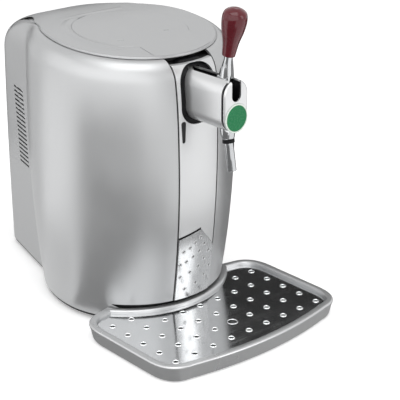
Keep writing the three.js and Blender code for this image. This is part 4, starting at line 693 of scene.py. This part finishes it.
outer, inner, deep, sunk = badge["radius"], badge["radius"] - badge["rim"], badge["deep"], badge["sunk"]
rimProfile = [(inner + 0.1, deep), (outer, deep), (outer, 0.35), (outer - 0.35, 0),
              (inner + 0.4, 0), (inner + 0.1, 0.4)]
badgeRim = turnedForm("badgeRim", rimProfile, 96, onFace)
badgeDisc = turnedForm("badgeDisc", [(0, sunk), (inner, sunk), (inner, deep), (0, deep)], 96, onFace)
dress(badgeDisc, "body", "badgeGreen", "badge_green", "badge_disc")
dress(badgeRim, "body", "badgeRim", "badge_green", "badge_disc")


def onLever(point):
    return turnedAlongX(point, lever["lean"], lever["pivotY"], lever["pivotZ"])


foot, neck, hub = arm["topZ"] - lever["pivotZ"], lever["neckR"], lever["hubR"]
stemTop, widening, bladeX = lever["knobFrom"] + lever["socket"], lever["flareR"] - neck, lever["width"] / 2
flare = [(neck + widening * (1 - smoothStep(t)) ** 0.8, foot - 2 + lever["flareLength"] * t)
         for t in np.linspace(0, 1, 16)]
stem = turnedForm("leverStem", [(0, foot / 2), (flare[0][0], foot / 2)] + flare + [(neck, stemTop), (0, stemTop)], 64)
squeeze = bladeX / lever["flareR"]
for vertex in stem.data.vertices:
    spread = max(0, math.hypot(vertex.co.x, vertex.co.y - rowShift / 1000) * 1000 - neck) / widening
    vertex.co.x *= 1 - (1 - squeeze) * min(1, spread)
leverStem = boxForm(-bladeX, bladeX, -lever["bladeHalf"], lever["bladeHalf"], 0, foot)
carve(leverStem, prismForm("bladeEnd", circle(foot + hub, 0, 0, 96), -10, 10, "x"), how="INTERSECT")
carve(leverStem, prismForm("hubForm", circle(hub, 0, 0, 64), -bladeX, bladeX, "x"), stem, how="UNION")
carve(leverStem, prismForm("pinRoom", circle(lever["pinR"] + gap, 0, 0, 48), -20, 20, "x"))
for vertex in leverStem.data.vertices:
    x, y, z = vertex.co * 1000
    vertex.co = placed([onLever((x, y - rowShift, z))])[0]
leverStem.name = "leverStem"
dress(leverStem, "lever", "chromeStem", "chrome_stem", "lever_stem")


def smoothLine(points, steps):
    path = np.array(points, float)
    padded = np.vstack([2 * path[0] - path[1], path, 2 * path[-1] - path[-2]])
    line = []
    for u in np.linspace(0, len(path) - 1, steps):
        i = min(len(path) - 2, int(u)) + 1
        t = u - (i - 1)
        p0, p1, p2, p3 = padded[i - 1:i + 3]
        square, cube = 2 * p0 - 5 * p1 + 4 * p2 - p3, 3 * p1 - p0 - 3 * p2 + p3
        line.append(0.5 * (2 * p1 + (p2 - p0) * t + square * t * t + cube * t ** 3))
    return [(max(0, r), z) for r, z in line]


low, long, wide, thin = lever["knobFrom"], lever["knobLength"], lever["knobR"], lever["knobNeckR"]
knobStops = [(thin, 0), (thin + 0.3 * (wide - thin), 0.28), (thin + 0.82 * (wide - thin), 0.55), (wide, 0.77),
             (wide * 0.86, 0.92), (lever["knobTopR"], 0.995), (0, 1)]   # radius, and share of the length
knobSide = smoothLine([(radius, low + share * long) for radius, share in knobStops], 60)
socket, depth = lever["neckR"] + gap, stemTop + gap
knobProfile = [(socket, low)] + knobSide[:-1] + [(0, low + long), (0, depth), (socket, depth)]
leverKnob = turnedForm("leverKnob", knobProfile, 96, onLever)
dress(leverKnob, "lever", "knobRed", "knob_red", "lever_knob", angle=50)


def onSpout(point):
    return turnedAlongX(point, -spout["tilt"], spout["y"], spout["z"])


cone, ring, tube, tipR, wall = (spout[key] for key in ("coneR", "ringR", "tubeR", "tipR", "wall"))
coneTop, coneFoot = 4, -spout["coneEnd"]
coneProfile = [(0, coneTop), (cone, coneTop), (cone, -5.5), (cone - 0.25, -6.6), (ring + 0.2, coneFoot + 0.6),
               (ring - 0.3, coneFoot), (0, coneFoot)]
nozzleCone = turnedForm("nozzleCone", coneProfile, 72, onSpout)
carve(nozzleCone, prismForm("armBelly", stadium(gap, 60), -215, arm["backY"]), hoseRoom())
dress(nozzleCone, "body", "spoutSteel", "black_trim", "nozzle_cone", angle=40)
ringTop = coneFoot - gap
bore, ringLow = tube + gap, ringTop - spout["ringLength"]
ringProfile = [(bore, ringTop), (ring - 0.5, ringTop), (ring, ringTop - 0.5), (ring, ringLow + 0.6),
               (ring - 0.6, ringLow), (bore, ringLow)]
nozzleRing = turnedForm("nozzleRing", ringProfile, 72, onSpout)
dress(nozzleRing, "body", "blackTrim", "black_trim", "nozzle_ring", angle=40)
tip = ringTop - spout["length"]
tubeProfile = [(tube - wall, ringTop), (tube, ringTop), (tipR, tip + 0.4), (tipR - 0.3, tip),
               (tipR - wall + 0.3, tip), (tipR - wall, tip + 0.4)]
nozzleTube = turnedForm("nozzleTube", tubeProfile, 72, onSpout)
dress(nozzleTube, "body", "spoutSteel", "clear_tube", "nozzle_tube", angle=40)
dress(hoseForm("beerTube", spout["hoseR"]), "body", "hoseClear", "hose_clear", "beer_tube", angle=50)
print("tap done")

# Splash plate: thin mirror steel with cut holes, their raised lips set on points by a node group
plate = {"gap": 0.3, "thick": 1, "leftZ": 112, "peakX": 4, "peakZ": 119, "rightZ": 91, "holeR": 1.7, "lip": (0.35, 1.3),
         "holes": [(3.7, 108.1), (-4.3, 103.1), (10.4, 97.4), (-12.2, 97.9), (19.2, 85.3), (2.6, 89.7), (-21.3, 94.7),
                   (-6.4, 84.2), (11.9, 76.7), (-16.5, 79.9), (-25, 77.3), (23.6, 62.7), (-9.8, 63.6), (-23.5, 60),
                   (15, 52.3), (1.5, 45.1), (-15.3, 41.2), (3, 67.7)]}


def lipRing(radius, rise, width, steps=28):   # drawn about the origin, to be set on points
    profile = [(radius, -0.3), (radius + width * 0.25, rise * 0.8), (radius + width * 0.5, rise),
               (radius + width * 0.8, rise * 0.55), (radius + width, -0.3)]
    return turnedForm("lip", profile, steps, lambda point: point - (0, rowShift, 0))


def repeatOnPoints(name, spots, tool, finish, facing=None):
    mesh = bpy.data.meshes.new(name)
    mesh.from_pydata(placed(spots), [], [])
    made = bpy.data.objects.new(name, mesh)
    bpy.context.collection.objects.link(made)
    group = bpy.data.node_groups.new(name, "GeometryNodeTree")
    for way in ("INPUT", "OUTPUT"):
        group.interface.new_socket("Geometry", in_out=way, socket_type="NodeSocketGeometry")
    kinds = ("NodeGroupInput", "GeometryNodeInstanceOnPoints", "GeometryNodeRealizeInstances",
             "GeometryNodeSetMaterial", "NodeGroupOutput")
    chain = [group.nodes.new(kind) for kind in kinds]
    for before, after in zip(chain, chain[1:]):
        group.links.new(before.outputs[0], after.inputs[0])
    onPoints, painted, info = chain[1], chain[3], group.nodes.new("GeometryNodeObjectInfo")
    painted.inputs["Material"].default_value = finishes[finish]
    info.inputs["Object"].default_value = tool
    group.links.new(info.outputs["Geometry"], onPoints.inputs["Instance"])
    if facing:
        face = mesh.attributes.new("facing", "FLOAT_VECTOR", "POINT")
        face.data.foreach_set("vector", np.asarray(facing, "f").ravel())
        named = group.nodes.new("GeometryNodeInputNamedAttribute")
        named.data_type, named.inputs["Name"].default_value = "FLOAT_VECTOR", "facing"
        turn = group.nodes.new("FunctionNodeAlignRotationToVector")
        turn.axis = "Z"
        group.links.new(named.outputs[0], turn.inputs["Vector"])
        group.links.new(turn.outputs["Rotation"], onPoints.inputs["Rotation"])
    made.modifiers.new("repeat", "NODES").node_group = group
    bake(made)
    bpy.data.objects.remove(tool)
    return made


splash = carve(bodyForm("splashPlate", -plate["gap"] - plate["thick"]), bodyForm("plateBack", -plate["gap"]))
low, left, right = front["bottomZ"] + gap, plate["leftZ"], plate["rightZ"]
lowX, leftX, rightX = (panelHalf(z) - seam for z in (low, left, right))
outline = [(-lowX, low), (lowX, low), (rightX, right), (plate["peakX"], plate["peakZ"]), (-leftX, left)]
carve(splash, prismForm("plateForm", outline, -200, 0), how="INTERSECT")
for x, z in plate["holes"]:
    carve(splash, prismForm("plateHole", circle(plate["holeR"], x, z, 24), -200, 0))
dress(splash, "body", "mirrorSteel", "mirror_steel", "splash_plate")
faceR = [barrelRadius(z) + plate["gap"] + plate["thick"] for _, z in plate["holes"]]
lipSpots = [(x, -math.sqrt(r * r - x * x), z) for (x, z), r in zip(plate["holes"], faceR)]
lipWays = [(x / r, y / r, 0) for (x, y, z), r in zip(lipSpots, faceR)]
plateLips = repeatOnPoints("plateLips", lipSpots, lipRing(plate["holeR"], *plate["lip"]), "mirrorSteel", lipWays)
dress(plateLips, "body", "mirrorSteel", "mirror_steel", "splash_plate", angle=50)

shadeLine = {"front": -0.3, "back": 0.2, "high": 2}   # insets of its faces, and its height
edgeShade = carve(bodyForm("edgeShade", shadeLine["front"]), bodyForm("shadeBack", shadeLine["back"]))
ledge = [outline[4], outline[3]]
ledge += [(x, z + shadeLine["high"]) for x, z in ledge[::-1]]
carve(edgeShade, prismForm("ledge", ledge, -200, 0), how="INTERSECT")
dress(edgeShade, "body", "blackTrim", "silver_front", "front_panel")

# Drip tray: one outline, drawn in for the rounded rim, the ledge and the sump
tray = {"lift": 1.5, "height": 22, "side": 143, "frontY": -251.1, "frontR": 475, "corner": (110, -195), "ctrlY": -235,
        "shoulder": (112, -64), "sideY": -107, "tuckAngle": 52.5, "rim": 10, "floor": 2.5, "ledge": 4, "bead": 2.3,
        "tongue": 30, "postR": 3.5, "inner": 4.6, "sides": [(1.5, 5), (3.8, 3.85), (15, 1.6), (18, 0.4)],
        "mouth": [(19.6, 10), (21, 9.6), (21.8, 8.6), (22.3, 7.4)]}   # sides and mouth as pairs of height and inset
grid = {"z": 17.4, "thick": 1.6, "pitch": 29, "firstY": -98.6, "holeR": 3, "lip": (0.8, 1.5), "drainR": 5.5,
        "drainLip": (0.6, 1.6), "bevel": 0.25}


def quadCurve(start, ctrl, end, steps):
    start, ctrl, end = map(np.array, (start, ctrl, end))
    return [tuple((1 - t) ** 2 * start + 2 * t * (1 - t) * ctrl + t * t * end) for t in np.linspace(0, 1, steps + 1)]


def trayOutline(inset, fine=24):
    side, (cx, cy), (sx, sy) = tray["side"], tray["corner"], tray["shoulder"]
    bow = tray["frontY"] + tray["frontR"]
    swing = math.asin(cx / tray["frontR"])
    frontY = bow - tray["frontR"] * math.cos(swing)
    reach = math.radians(tray["tuckAngle"])
    edge = quadCurve((cx, frontY), (side, tray["ctrlY"]), (side, cy), fine)
    edge += [(side, cy + (tray["sideY"] - cy) * t) for t in (0.33, 0.67)]
    edge += quadCurve((side, tray["sideY"]), (side, sy - tray["rim"] / 2), (sx, sy), fine)
    points = arc(0, bow, tray["frontR"], -math.pi / 2 - swing, -math.pi / 2 + swing, fine) + edge
    points += arc(0, tuck["y"], tuck["radius"] + seam, reach - math.pi / 2, -reach - math.pi / 2, 2 * fine)
    points += [(-x, y) for x, y in edge[::-1]]
    kept = [p for i, p in enumerate(points) if math.dist(p, points[(i + 1) % len(points)]) > 0.05]
    ring = np.array(kept)
    ways = [ring - np.roll(ring, 1, axis=0), np.roll(ring, -1, axis=0) - ring]
    normals = [np.column_stack([-w[:, 1], w[:, 0]]) / np.linalg.norm(w, axis=1)[:, None] for w in ways]
    both = normals[0] + normals[1]
    return ring + both * (inset / (1 + (normals[0] * normals[1]).sum(axis=1)))[:, None]


def trayForm(name, levels):
    return loftForm(name, [np.array([(x, y, z) for x, y in trayOutline(inset)]) for z, inset in levels])


trayFloor, seat, bead = tray["lift"] + tray["floor"], grid["z"] - grid["thick"] - gap, tray["bead"]
rounded = [(tray["height"] - bead + bead * math.sin(t), bead * (1 - math.cos(t)))
           for t in np.linspace(0, math.pi / 2, 8)]
dripTray = trayForm("dripTray", tray["sides"] + rounded + [(tray["height"], tray["inner"])])
ledgeInset = tray["rim"] + tray["ledge"]
carve(dripTray, trayForm("well", [(seat, tray["rim"])] + tray["mouth"]),
      trayForm("sump", [(trayFloor, ledgeInset + 2.5), (seat + gap, ledgeInset)]))
tuckEdge, reach = tuck["y"] - tuck["radius"], tray["tongue"]
carve(dripTray, boxForm(-reach, reach, tuckEdge - tray["rim"], tuckEdge + reach, tray["lift"], trayFloor), how="UNION")
for column in (-2, 2):
    for row in (1.5, 3.5):
        spot = circle(tray["postR"], column * grid["pitch"], grid["firstY"] - row * grid["pitch"], 24)
        carve(dripTray, prismForm("post", spot, trayFloor - gap, seat, "z"), how="UNION")
dress(dripTray, "tray", "silverTray", "silver_tray", "drip_tray", angle=35)

gridInset, bevel = tray["rim"] + gap, grid["bevel"]
dripGrid = trayForm("dripGrid", [(grid["z"] - grid["thick"], gridInset), (grid["z"] - bevel, gridInset),
                                 (grid["z"], gridInset + bevel)])
gridSpots = [(column * grid["pitch"], grid["firstY"] - row * grid["pitch"])
             for row in range(5) for column in range(-4, 5) if row or abs(column) > 2]
drain = (0, grid["firstY"] - 3 * grid["pitch"])
for x, y in gridSpots:
    radius = grid["drainR"] if (x, y) == drain else grid["holeR"]
    carve(dripGrid, prismForm("gridHole", circle(radius, x, y, 32), 0, 40, "z"))
dress(dripGrid, "grid", "gridSteel", "grid_steel", "drip_grid")
small = [(x, y, grid["z"]) for x, y in gridSpots if (x, y) != drain]
gridLips = repeatOnPoints("gridLips", small, lipRing(grid["holeR"], *grid["lip"]), "gridSteel")
dress(gridLips, "grid", "gridSteel", "grid_steel", "drip_grid", angle=50)
drainRing = lipRing(grid["drainR"], *grid["drainLip"], 48)
drainLip = repeatOnPoints("drainLip", [(*drain, grid["z"])], drainRing, "gridSteel")
dress(drainLip, "grid", "gridSteel", "grid_steel", "drip_grid", angle=50)
print("tray done", len(dripTray.data.polygons))

# Carried-over nodes keep their solids and take their finishes
nodeFinish = {
    "blackMatte": ("base_pan", "mouth_ring", "top_deck", "hinge_cowl", "lid_lining", "fan_frame", "fan_rotor",
                   "mains_inlet", "switch_frame"),
    "blackTrim": ("arm_liner", "power_switch"),
    "rubberBlack": ("foot_front_left", "foot_front_right", "foot_rear_left", "foot_rear_right", "lid_gasket",
                    "tray_pad_rear", "tray_pad_front"),
    "whitePlastic": ("keg_connector", "peltier_module"), "foamWhite": ("insulation_jacket",),
    "circuitGreen": ("control_board", "supply_board"), "pinSteel": ("lever_pin", "lid_hinge_pin"),
    "linerAluminium": ("chamber_liner", "cold_block"), "sinkAluminium": ("heat_sink",), "coreSteel": ("transformer",)}
for finish, names in nodeFinish.items():
    for name in names:
        mesh = nodes[name].data
        mesh.materials.clear()
        mesh.materials.append(finishes[finish])

# Floor, reflector cards and light
def rayMask(tree):
    path = tree.nodes.new("ShaderNodeLightPath")
    total = path.outputs["Is Camera Ray"]
    for ray in ("Is Glossy Ray", "Is Transmission Ray"):
        join = tree.nodes.new("ShaderNodeMath")
        join.operation, join.use_clamp = "ADD", True
        tree.links.new(total, join.inputs[0])
        tree.links.new(path.outputs[ray], join.inputs[1])
        total = join.outputs[0]
    return total


def stageMesh(name, points, finish):
    mesh = bpy.data.meshes.new(name)
    mesh.from_pydata(points, [], [tuple(range(len(points)))])
    made = bpy.data.objects.new(name, mesh)
    bpy.context.collection.objects.link(made)
    mesh.materials.append(finish.material)
    return made


studio = {"floor": 0.92, "floorLift": 0.3, "floorHalf": 6, "daylight": 0.72, "cardZ": 0.0015}
paper = Finish("floorPaper", (studio["floor"],) * 3, 0.7)
paper.plain("Specular IOR Level", 0.1).plain("Emission Strength", studio["floorLift"])
paper.tree.links.new(rayMask(paper.tree), paper.shader.inputs["Emission Color"])
half = studio["floorHalf"]
stageMesh("floor", [(-half, -half, 0), (half, -half, 0), (half, half, 0), (-half, half, 0)], paper)

world = bpy.data.worlds.new("studio")
bpy.context.scene.world = world
world.use_nodes = True
tree = world.node_tree
daylight = tree.nodes["Background"]
daylight.inputs["Color"].default_value, daylight.inputs["Strength"].default_value = (1, 1, 1, 1), studio["daylight"]
backdrop = tree.nodes.new("ShaderNodeBackground")
backdrop.inputs["Color"].default_value = (1, 1, 1, 1)
choice = tree.nodes.new("ShaderNodeMixShader")
tree.links.new(rayMask(tree), choice.inputs[0])
tree.links.new(daylight.outputs[0], choice.inputs[1])
tree.links.new(backdrop.outputs[0], choice.inputs[2])
tree.links.new(choice.outputs[0], tree.nodes["World Output"].inputs["Surface"])


# Cards that only reflections see, by bearing in degrees: on the floor, and upright behind object and camera
def card(name, points, level):
    finish = Finish(name, (0, 0, 0), 1)
    finish.plain("Specular IOR Level", 0).plain("Emission Color", (level,) * 3 + (1,)).plain("Emission Strength", 1)
    made = stageMesh(name, points, finish)
    for ray in ("camera", "diffuse", "transmission", "volume_scatter", "shadow"):
        setattr(made, f"visible_{ray}", False)


# Start and end bearing, inner and outer radius, brightness
floorCards = {"tailPlain": (78, 122, 0.12, 1.8, 0.8), "rearNear": (124, 165, 0.12, 0.34, 1.0),
              "rearBright": (124, 165, 0.34, 1.8, 1.6), "frontDark": (175, 241, 0.12, 1.8, 0.27),
              "cornerShade": (241, 262, 0.355, 0.6, 0.4), "trayShade": (241, 334, 0.12, 0.355, 0.4),
              "sideBright": (262, 320, 0.355, 1.8, 1.4), "rightDark": (334, 395, 0.12, 1.8, 0.15)}
for name, (start, end, inner, outer, level) in floorCards.items():
    bearings = [math.radians(start + (end - start) * i / 12) for i in range(13)]
    rim = [(r * math.cos(a), r * math.sin(a), studio["cardZ"])
           for r, way in ((inner, 1), (outer, -1)) for a in bearings[::way]]
    card(name, rim, level)
# Bearing, distance, half width, lower and upper edge, brightness
uprightCards = {"backDark": (48, 0.45, 0.45, 0, 0.42, 0.03), "cameraBright": (215, 1.6, 1.6, 0.0, 2.0, 2.0)}
for name, (bearing, away, half, low, high, level) in uprightCards.items():
    c, s = math.cos(math.radians(bearing)), math.sin(math.radians(bearing))
    card(name, [(away * c - side * half * s, away * s + side * half * c, z)
                for side, z in ((-1, low), (1, low), (1, high), (-1, high))], level)


lampAim = Vector((0, 0, 0.2))
lamps = {"topLamp": ((-0.3, -0.5, 2.0), (1.4, 1.2), 12), "sideLamp": ((-1.5, 0.9, 1.0), (1.4, 1.8), 5),
         "frontLamp": ((0.9, -1.8, 1.0), (0.8, 1.6), 8)}   # spot, size and power
for name, (spot, size, power) in lamps.items():
    lamp = bpy.data.lights.new(name, "AREA")
    lamp.shape, lamp.size, lamp.size_y, lamp.energy = "RECTANGLE", *size, power
    made = bpy.data.objects.new(name, lamp)
    made.location = spot
    made.rotation_euler = (lampAim - Vector(spot)).to_track_quat("-Z", "Y").to_euler()
    bpy.context.collection.objects.link(made)

bpy.context.scene.view_settings.view_transform = "Standard"
